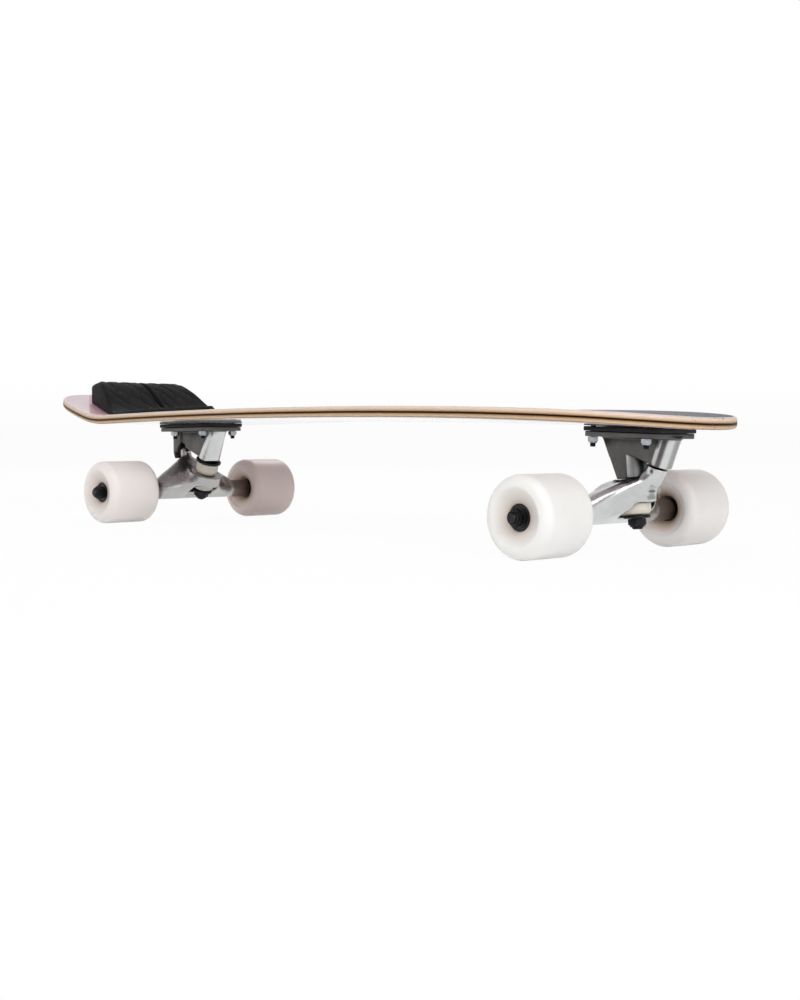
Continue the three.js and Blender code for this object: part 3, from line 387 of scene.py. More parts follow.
def finish_urethane():
    """White urethane, with a painted pink share of light from the deck's print, and painted beige shade down
    its dishes toward the bearing.
    """
    f = Finish("wheel urethane", "#f7f5f2", 0.34, Subsurface_Weight=0.25, Subsurface_Scale=0.004,
               Subsurface_Radius=(1.0, 0.8, 0.68), Coat_Weight=0.12, Coat_Roughness=0.25)
    base = f.ramp(f.noise(25, 4, 0.55), [(0.3, "#f6f4f1"), (0.7, "#faf9f7")])
    # The rose share paints pink light bounced from the deck's print
    pink_bounced = f.mix(f.attribute("rose"), base, "#f4dbd4")
    grain = f.noise(1200, 3, 0.6)
    # The core share paints beige shade down the dishes
    f.look(f.mix(f.attribute("dish_shade"), pink_bounced, "#c3a68d"), f.spread(grain, 0.3, 0.7, 0.3, 0.42))
    f.bump(grain, 0.08, 0.0001)
    return f.material


def finish_bushing():
    f = Finish("bushing urethane", "#e9e2d4", 0.32, Subsurface_Weight=0.3, Subsurface_Scale=0.003)
    mottle = f.noise(80, 4, 0.5)
    f.look(f.ramp(mottle, [(0.3, "#e2dccd"), (0.7, "#efeade")]), f.spread(mottle, 0.3, 0.7, 0.28, 0.42))
    f.bump(f.noise(600, 3, 0.6), 0.06, 0.0001)
    return f.material


def finish_mottled(name, color, roughness, noise, shades, rough, bump, **sockets):
    """A dull moulding in two close shades, bumpy where it is lighter."""
    f = Finish(name, color, roughness, **sockets)
    mottle = f.noise(*noise, 0.6)
    f.look(f.ramp(mottle, [(0.3, shades[0]), (0.7, shades[1])]), f.spread(mottle, 0.3, 0.7, *rough))
    f.bump(mottle, *bump)
    return f.material


def finish_metal(name, color, dark, low, high, metallic=1.0):
    f = Finish(name, color, low, metallic)
    grain = f.noise(400, 4, 0.6)
    f.look(f.ramp(f.noise(120, 4, 0.6), [(0.3, dark), (0.75, color)]), f.spread(grain, 0.3, 0.7, low, high))
    f.bump(grain, 0.08, 0.0001)
    return f.material


black_steel = finish_metal("black steel", "#2b2b2e", "#1c1c1f", 0.3, 0.48, 0.75)
dark_steel = finish_metal("dark steel", "#3a3a3d", "#232326", 0.26, 0.42, 0.85)
shield = finish_metal("bearing shield", "#1b1b1e", "#131315", 0.35, 0.5, 0.1)

# Looks: a slot and its materials
MAPLE = ("maple", [finish_top(), finish_edge(), finish_under()])
FOAM = ("pad_foam", [finish_foam()])
RUBBER = ("riser_rubber", [finish_mottled(
    "riser rubber", "#141416", 0.62, (140, 5), ("#101012", "#1d1d20"), (0.55, 0.75), (0.2, 0.0003),
    Specular_IOR_Level=0.35)])
CUP = ("cup_plastic", [finish_mottled(
    "cup plastic", "#2a2a2d", 0.45, (200, 4), ("#222225", "#303034"), (0.4, 0.55), (0.1, 0.0002))])
SATIN = ("satin_casting", [finish_satin()])
POLISHED = ("polished_casting", [finish_polished()])
URETHANE = ("wheel_urethane", [finish_urethane()])
BUSHING = ("bushing_urethane", [finish_bushing()])
BLACK = ("black_steel", [black_steel])
STEEL = ("plain_steel", [finish_metal("plain steel", "#b9b9bd", "#98989c", 0.2, 0.36)])
DARK = ("plain_steel", [dark_steel])
BOLT = ("zinc_steel", [black_steel, finish_metal("zinc steel", "#c3c7cd", "#9ea2a8", 0.22, 0.4)])
BEARING = ("bearing_steel", [dark_steel, shield])


# Meshes

def tidy_mesh(mesh, sharp):
    work = bmesh.new()
    work.from_mesh(mesh)
    bmesh.ops.remove_doubles(work, verts=work.verts, dist=1e-7)
    bmesh.ops.recalc_face_normals(work, faces=work.faces)
    work.to_mesh(mesh)
    work.free()
    mesh.shade_smooth()
    if sharp:
        mesh.set_sharp_from_angle(angle=math.radians(sharp))


def piece(name, shape, look, body=None, node=None, truck=None, sharp=32, indices=None):
    """A mesh from millimetres, in the part's frame or a truck's. With a body it is settled at once."""
    slot, materials = look
    points, faces = np.asarray(shape[0], float), shape[1]
    if truck:
        turn = np.array(truck["matrix"])
        points = points @ turn[:3, :3].T + turn[:3, 3]
    mesh = bpy.data.meshes.new(name)
    mesh.from_pydata((points * MILLIMETRE).tolist(), [], [list(map(int, face)) for face in faces])
    for material in materials:
        mesh.materials.append(material)
    if indices is not None:
        mesh.polygons.foreach_set("material_index", np.asarray(indices, np.int32))
    tidy_mesh(mesh, sharp)
    obj = bpy.data.objects.new(name, mesh)
    bpy.context.scene.collection.objects.link(obj)
    if body:
        settle(obj, body, node)
    return obj


def settle(obj, body, node):
    """The piece rides on its body and stands for its node."""
    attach(obj, body)
    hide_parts(node)


def point_values(obj, name, values):
    attribute = obj.data.attributes.new(name, "FLOAT", "POINT")
    attribute.data.foreach_set("value", np.asarray(values, np.float32))


def vectors(obj, name):
    """A value with three parts of each point of a mesh."""
    flat = np.empty(len(obj.data.vertices) * 3)
    obj.data.vertices.foreach_get(name, flat)
    return flat.reshape(-1, 3)


def placed(obj, truck=None):
    """A mesh's points in millimetres, in the part's frame or a truck's."""
    points = vectors(obj, "co") / MILLIMETRE
    if truck:
        turn = np.array(truck["matrix"])
        points = (points - turn[:3, 3]) @ turn[:3, :3]
    return points


def bridge(first, second, closed=False):
    """Faces between two rows of points, joined round when closed. A row may be one point."""
    count = max(len(first), len(second))
    faces = []
    for k in range(count if closed else count - 1):
        n = (k + 1) % count
        near = first[k % len(first)], first[n % len(first)]
        far = second[n % len(second)], second[k % len(second)]
        faces.append(tuple(dict.fromkeys(near + far)))
    return faces


def joined(first, second):
    offset = len(first[0])
    return first[0] + second[0], first[1] + [tuple(offset + k for k in face) for face in second[1]]


def swept(rings, base, direction, closed=False):
    """A skin through rings, each a list of radii and heights round an axis, or a point on it."""
    up = unit(direction)
    side = unit(np.cross(up, (0.0, 0.0, 1.0) if abs(up[2]) < 0.9 else (1.0, 0.0, 0.0)))
    other = np.cross(up, side)
    verts, rows = [], []
    for radii, heights in rings:
        radii, heights = np.broadcast_arrays(np.atleast_1d(radii), np.atleast_1d(heights))
        count = len(radii)
        rows.append(range(len(verts), len(verts) + count))
        for k in range(count):
            angle = TURN * k / count
            outward = math.cos(angle) * side + math.sin(angle) * other
            verts.append(base + up * heights[k] + radii[k] * outward)
    nexts = rows[1:] + rows[:1] if closed else rows[1:]
    return verts, [face for first, second in zip(rows, nexts) for face in bridge(first, second, True)]


def round_rings(profile, sides):
    return [(np.full(sides, float(r)), h) if r > 1e-6 else (0.0, h) for r, h in profile]


def turned(profile, sides, base, direction, closed=False):
    return swept(round_rings(profile, sides), np.asarray(base, float), direction, closed)


def hex_radii(flats, sides=48):
    angles = np.arange(sides) * TURN / sides
    return flats / 2 / np.cos((angles + math.pi / 6) % (math.pi / 3) - math.pi / 6)


def nut_rings(flats, start, height, dome, bore, sign):
    """A chamfered hexagon under a round locking collar, with a hole through it."""
    radii = hex_radii(flats)
    bound = flats / 2 * 1.03
    waist = np.minimum(radii, bound)
    slope = np.maximum(radii - bound, 0) * math.tan(math.radians(30))
    body, collar = height - dome, flats / 2 * 0.88
    rings = [
        (bore, 0.0), (bore + 0.5, 0.0), (waist, 0.0), (radii, slope + 0.05), (radii, body - slope - 0.05),
        (waist, body), (collar, body + 0.05), (collar, height - 0.7), (collar - 0.25, height - 0.25),
        (collar - 0.8, height), (bore + 0.9, height), (bore, height - 0.5),
    ]
    full = np.ones(len(radii))
    return [(r * full, start + sign * np.asarray(h)) for r, h in rings]


def threads(radius, start, end, pitch=1.25, depth=0.35):
    """Profile points of a threaded stretch, as close rings."""
    count = max(int(abs(end - start) / pitch), 1)
    step = (end - start) / count
    points = []
    for k in range(count):
        here = start + k * step
        points += [(radius - depth, here), (radius, here + 0.35 * step), (radius, here + 0.65 * step)]
    return points + [(radius - depth, end)]


# Distance fields for the castings: negative inside, for arrays of x, y and z in a truck's frame

FAR = 1e3


def soft_min(a, b, blend):
    h = np.clip(0.5 + 0.5 * (b - a) / blend, 0, 1)
    return b * (1 - h) + a * h - blend * h * (1 - h)


def soft_max(a, b, blend):
    return -soft_min(-a, -b, blend)


def corner(a, b):
    """Two distances met round their common corner."""
    return np.sqrt(np.maximum(a, 0) ** 2 + np.maximum(b, 0) ** 2) + np.minimum(np.maximum(a, b), 0)


def between(value, low, high):
    return np.abs(value - (low + high) / 2) - (high - low) / 2


def along(x, z, base, direction):
    return (x - base[0]) * direction[0] + (z - base[2]) * direction[2]


def ahead(x, z, base, direction):
    """How far forward of a line in the truck's middle plane."""
    return (x - base[0]) * direction[2] - (z - base[2]) * direction[0]


def field_ball(p, centre, radius):
    x, y, z = p
    return np.sqrt((x - centre[0]) ** 2 + y * y + (z - centre[2]) ** 2) - radius


def field_rod(p, base, direction, start, end, radius, end_radius=None, edge=0.8):
    """A round bar or cone with rounded rims."""
    end_radius = radius if end_radius is None else end_radius
    d = unit(direction)
    rx, ry, rz = [value - middle for value, middle in zip(p, base)]
    t = rx * d[0] + ry * d[1] + rz * d[2]
    q = np.sqrt(np.maximum(rx * rx + ry * ry + rz * rz - t * t, 0))
    share = np.clip((t - start) / (end - start), 0, 1)
    slope = math.cos(math.atan2(abs(end_radius - radius), end - start))
    across = (q - (radius + (end_radius - radius) * share)) * slope + edge
    return corner(across, between(t, start, end) + edge) - edge


def field_polygon(x, z, points):
    """Signed distance to a closed outline."""
    points = [np.asarray(q, float) for q in points]
    best = np.inf
    sign = 1.0
    for a, b in zip(points, points[1:] + points[:1]):
        ex, ez = b - a
        wx, wz = x - a[0], z - a[1]
        t = np.clip((wx * ex + wz * ez) / (ex * ex + ez * ez), 0, 1)
        best = np.minimum(best, (wx - ex * t) ** 2 + (wz - ez * t) ** 2)
        above, below = z >= a[1], z < b[1]
        left = ex * wz > ez * wx
        flip = (above & below & left) | (~above & ~below & ~left)
        sign = sign * np.where(flip, -1.0, 1.0)
    return sign * np.sqrt(best)


def field_slab(p, points, half_width, edge=1.0):
    x, y, z = p
    return corner(field_polygon(x, z, points) + edge, np.abs(y) - half_width + edge) - edge


def field_plate(p, truck, edge=0.7):
    x, y, z = p
    r, top = truck["corner"], truck["height"]
    plan = corner(between(x, truck["back"], truck["front"]) + r, np.abs(y) - plate_width / 2 + r) - r
    return corner(plan + edge, between(z, top - plate_thickness, top) + edge) - edge


def smooth_values(stations, values, places):
    """A curve through a table's values that keeps between them."""
    stations, values = np.asarray(stations, float), np.asarray(values, float)
    slopes = np.gradient(values, stations)
    steps = np.diff(values) / np.diff(stations)
    for k in range(len(values)):
        near = steps[max(k - 1, 0):k + 1]
        if near.min() * near.max() <= 0:
            slopes[k] = 0.0
        else:
            slopes[k] = math.copysign(min(abs(slopes[k]), 3 * np.abs(near).min()), slopes[k])
    k = np.clip(np.searchsorted(stations, places) - 1, 0, len(stations) - 2)
    h = stations[k + 1] - stations[k]
    t = (places - stations[k]) / h
    return (
        (1 + 2 * t) * (1 - t) ** 2 * values[k] + t * (1 - t) ** 2 * h * slopes[k]
        + t * t * (3 - 2 * t) * values[k + 1] + t * t * (t - 1) * h * slopes[k + 1]
    )


# Places along the axle where a wing's shares are given, from the middle to its end
SPANS = (0, 0.13, 0.24, 0.37, 0.52, 0.7, 0.86, 1)
WING_DIRECTIONS = 180


def field_wings(p, truck, bars, shares):
    """A hanger's body: at each place along the axle, the hull of round bars that sink into the barrel."""
    x, y, z = p
    fine = np.linspace(0, 1, 81)
    falls = {key: smooth_values(SPANS, shares[key], fine) for key in bars}
    away = np.minimum(np.abs(y) / truck["wing_spread"], 1)
    best = -np.inf
    for k in range(WING_DIRECTIONS):
        angle = TURN * k / WING_DIRECTIONS
        dx, dz = math.cos(angle), math.sin(angle)
        reach = np.full(fine.shape, barrel_radius)
        for key, (bx, bz, radius) in bars.items():
            share = falls[key]
            round_radius = radius * share + barrel_radius * (1 - share) * 0.9
            reach = np.maximum(reach, share * (bx * dx + bz * dz) + round_radius)
        best = np.maximum(best, x * dx + z * dz - np.interp(away, fine, reach))
    return best


def field_room(p, truck, part, start, end):
    """Free room round the kingpin, longer across the board."""
    x, y, z = p
    c, d = truck["centre"], truck["kingpin"]
    sideways = np.maximum(np.abs(y) - part["sway"], 0)
    across = np.sqrt(ahead(x, z, c, d) ** 2 + sideways * sideways) - part["room"]
    return soft_max(across, between(along(x, z, c, d), start, end), 1.0)


CAST_STEP = 0.6
SLOPE_REACH = 0.05
SETTLE_ROUNDS = 3
HANGER_EASING = 3
# Painted shade in recesses, with a little grime: how far off the skin a neighbouring wall still darkens it,
# and how much
RECESS_SHADE_REACHES = ((2.5, 0.3), (6.0, 0.4), (12.0, 0.5))


def casting(distance, low, high):
    """A closed skin where the distance is zero: one point in each cell that it crosses."""
    axes = [np.arange(low[k], high[k] + CAST_STEP, CAST_STEP) for k in range(3)]
    grid = [axes[0][:, None, None], axes[1][None, :, None], axes[2][None, None, :]]
    field = np.broadcast_to(distance(grid), [len(a) for a in axes]).astype(np.float32)
    corners = [(i, j, k) for i in (0, 1) for j in (0, 1) for k in (0, 1)]

    def values(shift):
        return field[tuple(slice(s, s + n - 1) for s, n in zip(shift, field.shape))]

    count = sum((values(shift) < 0).astype(np.int8) for shift in corners)
    mixed = (count > 0) & (count < 8)
    where = np.argwhere(mixed)
    number = np.full(mixed.shape, -1, np.int64)
    number[mixed] = np.arange(len(where))
    total = np.zeros((len(where), 3))
    hits = np.zeros(len(where))
    for a in corners:
        for k in range(3):
            if a[k]:
                continue
            b = list(a)
            b[k] = 1
            fa, fb = values(a)[mixed], values(b)[mixed]
            crossing = (fa < 0) != (fb < 0)
            spot = np.tile(np.array(a, float), (len(where), 1))
            spot[:, k] = np.where(crossing, fa / np.where(crossing, fa - fb, 1), 0)
            total += spot * crossing[:, None]
            hits += crossing
    points = (where + total / hits[:, None]) * CAST_STEP + np.array(low)
    faces = []
    inside = field < 0
    for k in range(3):
        i, j = [n for n in range(3) if n != k]
        first = np.moveaxis(inside, k, 0)
        places = np.argwhere(np.moveaxis(first[:-1] != first[1:], 0, k))
        for n in (i, j):
            places = places[(places[:, n] > 0) & (places[:, n] < field.shape[n] - 1)]
        quad = []
        for di, dj in ((-1, -1), (0, -1), (0, 0), (-1, 0)):
            cell = places.copy()
            cell[:, i] += di
            cell[:, j] += dj
            quad.append(number[tuple(cell.T)])
        faces.append(np.stack(quad, 1))
    # The points are then moved along the field's slope onto its zero
    for _ in range(SETTLE_ROUNDS):
        here = distance(list(points.T))
        slope = np.stack([
            distance([points[:, n] + (SLOPE_REACH if n == k else 0) for n in range(3)]) - here
            for k in range(3)
        ], 1) / SLOPE_REACH
        move = -(here / np.maximum((slope ** 2).sum(1), 0.2))[:, None] * slope
        points = points + np.clip(move, -CAST_STEP / 2, CAST_STEP / 2)
    return points, np.concatenate(faces)


def relaxed(points, faces, rounds):
    """Points eased toward their neighbours, so that a polished skin reflects smoothly."""
    edges = np.concatenate([faces[:, (k, (k + 1) % 4)] for k in range(4)])
    edges = np.concatenate([edges, edges[:, ::-1]])
    count = np.bincount(edges[:, 0], minlength=len(points))[:, None]
    for _ in range(rounds):
        sums = [np.bincount(edges[:, 0], points[edges[:, 1], k], len(points)) for k in range(3)]
        total = np.stack(sums, 1)
        points = points + 0.5 * (total / np.maximum(count, 1) - points)
    return points


def cast_piece(truck, kind, node, body, look, distance, low, high, rounds=0):
    """A casting's piece, with how deep each of its points lies among its own walls, which its finish turns
    into painted shade in the recesses.
    """
    verts, faces = casting(distance, low, high)
    shape = relaxed(verts, faces, rounds), faces
    name = truck["name"]
    obj = piece(f"{name}_{kind}_casting", shape, look, body, f"{name}_{node}", truck, sharp=0)
    points = placed(obj, truck)
    normals = vectors(obj, "normal") @ np.array(truck["matrix"])[:3, :3]
    hollow = np.zeros(len(points))
    for reach, weight in RECESS_SHADE_REACHES:
        spots = points + normals * reach
        hollow += weight * np.clip(1 - distance(list(spots.T)) / reach, 0, 1)
    # How deep in its recesses each point lies, kept for the painted shade there
    point_values(obj, "hollow", np.clip(hollow * 1.3 - 0.1, 0, 1))
    return obj, points


# Deck

def kick_rise(x):
    run = kick_length - half_length - x
    curved = run * run / (2 * kick_blend)
    rise = np.where(run < kick_blend, curved, run - kick_blend / 2)
    return math.tan(kick_angle) * np.where(run <= 0, 0, rise)


def deck_under(x, y):
    share = np.clip((x - rear_axle_x) / wheelbase, 0, 1.15)
    middle = camber_top - (x - camber_middle) ** 2 / (2 * camber_radius) + kick_rise(x)
    return middle + concave_depth * share * (y / half_deck) ** 2


def deck_top(x, y):
    return deck_under(x, y) + deck_thickness


def bezier(points, t):
    """Places on a curve, and the curve's direction there."""
    a, b, c, d = [np.asarray(q, float) for q in points]
    t = np.asarray(t, float)[..., None]
    place = (1 - t) ** 3 * a + 3 * (1 - t) ** 2 * t * b + 3 * (1 - t) * t * t * c + t ** 3 * d
    slope = 3 * (1 - t) ** 2 * (b - a) + 6 * (1 - t) * t * (c - b) + 3 * t * t * (d - c)
    return place, slope


tail_curve = [
    (-half_length, 0), (-half_length, half_deck * tail_blunt),
    (deck_widest - (half_length + deck_widest) * tail_shoulder, half_deck), (deck_widest, half_deck),
]
nose_curve = [
    (deck_widest, half_deck), (deck_widest + (half_length - deck_widest) * nose_shoulder, half_deck),
    (half_length, half_deck * nose_blunt), (half_length, 0),
]
even_steps = np.linspace(0, 1, 1200)
deck_outline = np.concatenate([bezier(tail_curve, even_steps)[0], bezier(nose_curve, even_steps)[0][1:]])


def half_deck_at(x):
    return np.interp(x, deck_outline[:, 0], deck_outline[:, 1])


def deck_stations(steps=84):
    """Places along one side of the outline, closer at its ends, and the outline's outward directions."""
    even = np.linspace(0, 1, 2 * steps + 1)
    shares = 0.5 * (1 - np.cos(np.pi * even)) / 2 + 0.5 * even
    tail = bezier(tail_curve, np.clip(2 * shares[:steps + 1], 0, 1))
    nose = bezier(nose_curve, np.clip(2 * shares[steps + 1:] - 1, 0, 1))
    spots, slopes = [np.concatenate(pair) for pair in zip(tail, nose)]
    normals = np.stack([-slopes[:, 1], slopes[:, 0]], 1)
    return spots, normals / np.linalg.norm(normals, axis=1)[:, None]


DECK_ROWS = 22
TOP_FACE, EDGE_FACE, UNDER_FACE = 0, 1, 2


def make_deck():
    spots, normals = deck_stations()
    stations = len(spots)
    # Loops from the top face round the edge to the underside: how far in, how far down
    turn = np.radians(np.linspace(0, 90, 6))
    rounded = [(deck_edge * (1 - math.sin(a)), deck_edge * (1 - math.cos(a))) for a in turn]
    flat = [(0, deck_edge + (deck_thickness - 2 * deck_edge) * k / 4) for k in (1, 2, 3)]
    loops = rounded + flat + [(away, deck_thickness - down) for away, down in reversed(rounded)]
    verts, faces, indices = [], [], []

    def put(x, y, down):
        verts.append((x, y, float(deck_top(x, y)) - down))
        return len(verts) - 1

    def add(new, index):
        faces.extend(new)
        indices.extend([index] * len(new))

    order = [(k, -1) for k in range(stations)] + [(k, 1) for k in range(stations - 2, 0, -1)]
    rings = []
    for away, down in loops:
        rings.append([
            put(spots[k, 0] - normals[k, 0] * away, side * max(spots[k, 1] - normals[k, 1] * away, 0.0), down)
            for k, side in order
        ])
    for upper, lower in zip(rings, rings[1:]):
        add(bridge(upper, lower, True), EDGE_FACE)
    for ring, down, index in ((rings[0], 0, TOP_FACE), (rings[-1], deck_thickness, UNDER_FACE)):
        lines = [ring[:1]]
        for k in range(1, stations - 1):
            x, near = verts[ring[k]][:2]
            inside = [put(x, near * (1 - 2 * r / DECK_ROWS), down) for r in range(1, DECK_ROWS)]
            lines.append([ring[k], *inside, ring[len(order) - k]])
        lines.append([ring[stations - 1]])
        for before, line in zip(lines, lines[1:]):
            add(bridge(before, line), index)
    deck = piece("deck_boards", (verts, faces), MAPLE, indices=indices, sharp=0)
    points = placed(deck)
    point_values(deck, "ply", (deck_top(points[:, 0], points[:, 1]) - points[:, 2]) / deck_thickness)
    drill_deck(deck)
    settle(deck, "board", "deck")


def drill_deck(deck):
    """Countersunk holes, cut with cones whose tips stand clear of both faces."""
    deep, below, above = bolt_head_depth + gap, deck_thickness + 4, 3
    wide = bolt_diameter / 2 + slide
    flare = (bolt_head_radius - bolt_diameter / 2) / bolt_head_depth
    profile = [(0, -below), (wide, -below), (wide, -deep), (wide + flare * (deep + above), above), (0, above)]
    group = bpy.data.collections.new("holes")
    for truck in (FRONT, REAR):
        head_top = seat_height(truck) + deck_thickness
        for spot in bolt_places(truck):
            shape = turned([(r, head_top + h) for r, h in profile], 32, spot, (0, 0, 1))
            group.objects.link(piece("hole", shape, MAPLE, truck=truck, indices=[EDGE_FACE] * len(shape[1])))
    modifier = deck.modifiers.new("holes", "BOOLEAN")
    modifier.operation = "DIFFERENCE"
    modifier.operand_type = "COLLECTION"
    modifier.collection = group
    modifier.solver = "EXACT"
    bpy.context.view_layer.update()
    cut = bpy.data.meshes.new_from_object(deck.evaluated_get(bpy.context.evaluated_depsgraph_get()))
    deck.modifiers.clear()
    deck.data = cut
    for hole in list(group.objects):
        bpy.data.objects.remove(hole)
    bpy.data.collections.remove(group)
    cut.shade_smooth()
    cut.set_sharp_from_angle(angle=math.radians(35))


# Tail pad

pad_back_x = pad_back - half_length
pad_start_x = pad_back_x - pad_point
pad_end_x = pad_back_x + pad_length
pad_ramp_foot = pad_back_x + kick_pad_run + kick_pad_ramp
foot_stop = float(deck_top(pad_back_x, 0)) + kick_pad_height
PAD_INNER = pad_split / 2 - 1.2
PAD_RIM, PAD_RIM_TALL = 1.8, 5
PAD_GROOVE, PAD_SINK = 1.2, 0.2


def pad_height(x, y):
    climb = np.clip((pad_ramp_foot - x) / kick_pad_ramp, 0, 1)
    ease = climb * climb * (3 - 2 * climb)
    fall = kick_pad_fall * np.clip((pad_back_x + kick_pad_run - x) / kick_pad_run, 0, 1)
    mat = deck_top(x, y) + pad_glue + pad_thickness
    return mat + (foot_stop - fall - mat) * ease


def rounding(radius, away):
    """How far a rim of a radius drops, by the distance in from its edge."""
    return radius - np.sqrt(np.maximum(radius ** 2 - np.maximum(radius - away, 0) ** 2, 0))


def pad_outer(x):
    edge = half_deck_at(x) - pad_inset
    reach = half_deck_at(pad_back_x + pad_shoulder) - pad_inset - pad_corner
    taper = pad_corner + (x - pad_back_x) * reach / pad_shoulder
    point = pad_corner * (x - pad_start_x) / pad_point
    nose = edge - rounding(pad_nose_round, np.maximum(pad_end_x - x, 0))
    lines = soft_min(soft_min(taper, edge, 5), point, 4)
    return np.maximum(np.minimum(lines, nose), pad_split / 2 + pad_tip)


def pillow(x, y):
    """Depth of the moulded grooves: leaf-shaped pillows in staggered rows, 0 on a crown, 1 in a groove."""
    y = np.abs(y)
    u = (x + 3 * np.sin(y / 11) + 2.5 * np.sin(x / 13 + y / 9)) / 26
    v = (y + 3 * np.sin(x / 12) + 1.5 * np.sin(y / 5 + x / 31)) / 21
    crown = np.abs(np.sin(np.pi * (u + v)) * np.sin(np.pi * (u - v)))
    depth = 0.62 + 0.38 * np.sin(x / 17 + 2 * np.sin(y / 14)) * np.sin(y / 10 + 1.5 * np.sin(x / 26))
    return depth * (1 - np.clip(crown * 1.5, 0, 1) ** 0.8)


def make_pad(side, node, lengthwise=240, across=62):
    start = pad_start_x + 2 * pad_lip
    places = np.linspace(start, pad_end_x, lengthwise + 1)
    outer = pad_outer(places)[:, None]
    y = PAD_INNER + (outer - PAD_INNER) * np.linspace(0, 1, across + 1)[None, :]
    ring = np.repeat(places[:, None], across + 1, 1)
    # Ahead of the ramp each ring runs back toward the split, at the back its top leans forward
    pull = pad_notch * (1 - y / half_deck) / (pad_end_x - pad_ramp_foot)
    x_low = ring - pull * np.maximum(ring - pad_ramp_foot, 0)
    x_top = x_low + kick_pad_rake * np.maximum(1 - (ring - start) / pad_point, 0)
    # Distances in from the sides and ends, about square to them
    beside = (outer - y) * 0.93
    before = (pad_end_x - ring) * (1 - pull) * 0.62
    away = np.minimum(np.minimum(y - PAD_INNER, beside), np.minimum(ring - start, before))
    tall = pad_height(x_low, y) - deck_top(x_low, y) - pad_glue
    drop = np.maximum(rounding(PAD_RIM, away), rounding(np.clip(0.45 * tall, PAD_RIM, PAD_RIM_TALL), beside))
    groove = PAD_GROOVE * pillow(x_top, y) * np.clip(away / 4, 0, 1)
    top = np.stack([x_top, side * y, pad_height(x_top, y) - drop - groove - PAD_SINK], 2)
    low = np.stack([x_low, side * y, deck_top(x_low, y) + pad_glue], 2)
    numbers = np.arange(ring.size).reshape(ring.shape)
    loops = [[*row, *(row[::-1] + ring.size)] for row in numbers]
    faces = [face for first, second in zip(loops, loops[1:]) for face in bridge(first, second, True)]
    for row in (numbers[0], numbers[-1]):
        faces += bridge(row, row + ring.size)
    verts = np.concatenate([top.reshape(-1, 3), low.reshape(-1, 3)])
    pad = piece(f"{node}_foam", (verts, faces), FOAM, "board", node, sharp=50)
    points = placed(pad)
    # The grooves' depth, kept for the painted shade in them
    point_values(pad, "groove", pillow(points[:, 0], points[:, 1]))


# Trucks

def bolt_places(truck):
    return [
        np.array((truck["bolts"] + end * bolt_spacing / 2, side * bolt_gauge / 2, 0.0))
        for end in (-1, 1) for side in (-1, 1)
    ]


def make_riser(truck):
    """A plate with rounded corners and rims."""
    back, front = truck["back"] - riser_margin, truck["front"] + riser_margin
    half, radius, name = plate_width / 2 + riser_margin, truck["corner"], truck["name"]
    bottom = truck["height"] + gap
    top = bottom + riser_thickness
    turns = [(front - radius, half - radius, 0), (back + radius, half - radius, 90),
             (back + radius, radius - half, 180), (front - radius, radius - half, 270)]
    rim, eased = 0.6, 0.18
    levels = [(rim, bottom), (eased, bottom + eased), (0, bottom + rim)]
    levels += [(0, top - rim), (eased, top - eased), (rim, top)]
    verts, rows = [], []
    for away, level in levels:
        start = len(verts)
        for x, y, first in turns:
            for a in np.radians(np.linspace(first, first + 90, 9)):
                verts.append((x + (radius - away) * math.cos(a), y + (radius - away) * math.sin(a), level))
        rows.append(range(start, len(verts)))
    faces = [face for lower, upper in zip(rows, rows[1:]) for face in bridge(lower, upper, True)]
    faces += [tuple(rows[0]), tuple(rows[-1])]
    piece(f"{name}_riser_pad", (verts, faces), RUBBER, "board", f"{name}_riser", truck)


def cup_inner(truck):
    return (truck["ball"] + gap) / math.cos(math.pi / 10)


def field_pierced(p, truck, body):
    """A baseplate's body on its plate, with the pivot cup's pocket and the bolts' and kingpin's holes."""
    beyond, pocket_depth = 6, 24
    top = truck["height"]
    bottom = top - plate_thickness
    pocket = cup_inner(truck) + cup_wall + gap
    body = soft_min(body, field_plate(p, truck), 2.4)
    cup_room = field_rod(p, truck["pivot"], truck["cup_axis"], -pocket_depth, pocket, pocket, edge=0.2)
    body = np.maximum(body, -cup_room)
    bore = field_rod(p, truck["centre"], truck["kingpin"], 0, truck["plate_bore"], kingpin_diameter / 2 + gap,
                     edge=0.1)
    body = soft_max(body, -bore, 0.4)
    for spot in bolt_places(truck):
        hole = field_rod(p, spot, (0, 0, 1), bottom - beyond, top + beyond, bolt_diameter / 2 + gap)
        body = soft_max(body, -hole, 0.4)
    return body


def under_plate(points, truck):
    """0 on the plate, 1 below it."""
    return np.clip((truck["height"] - plate_thickness - 0.8 - points[:, 2]) / 0.8, 0, 1)


def around(points, forward):
    """Degrees round an axis in the middle plane, from straight ahead."""
    return np.degrees(np.arctan2(np.abs(points[:, 1]), forward))


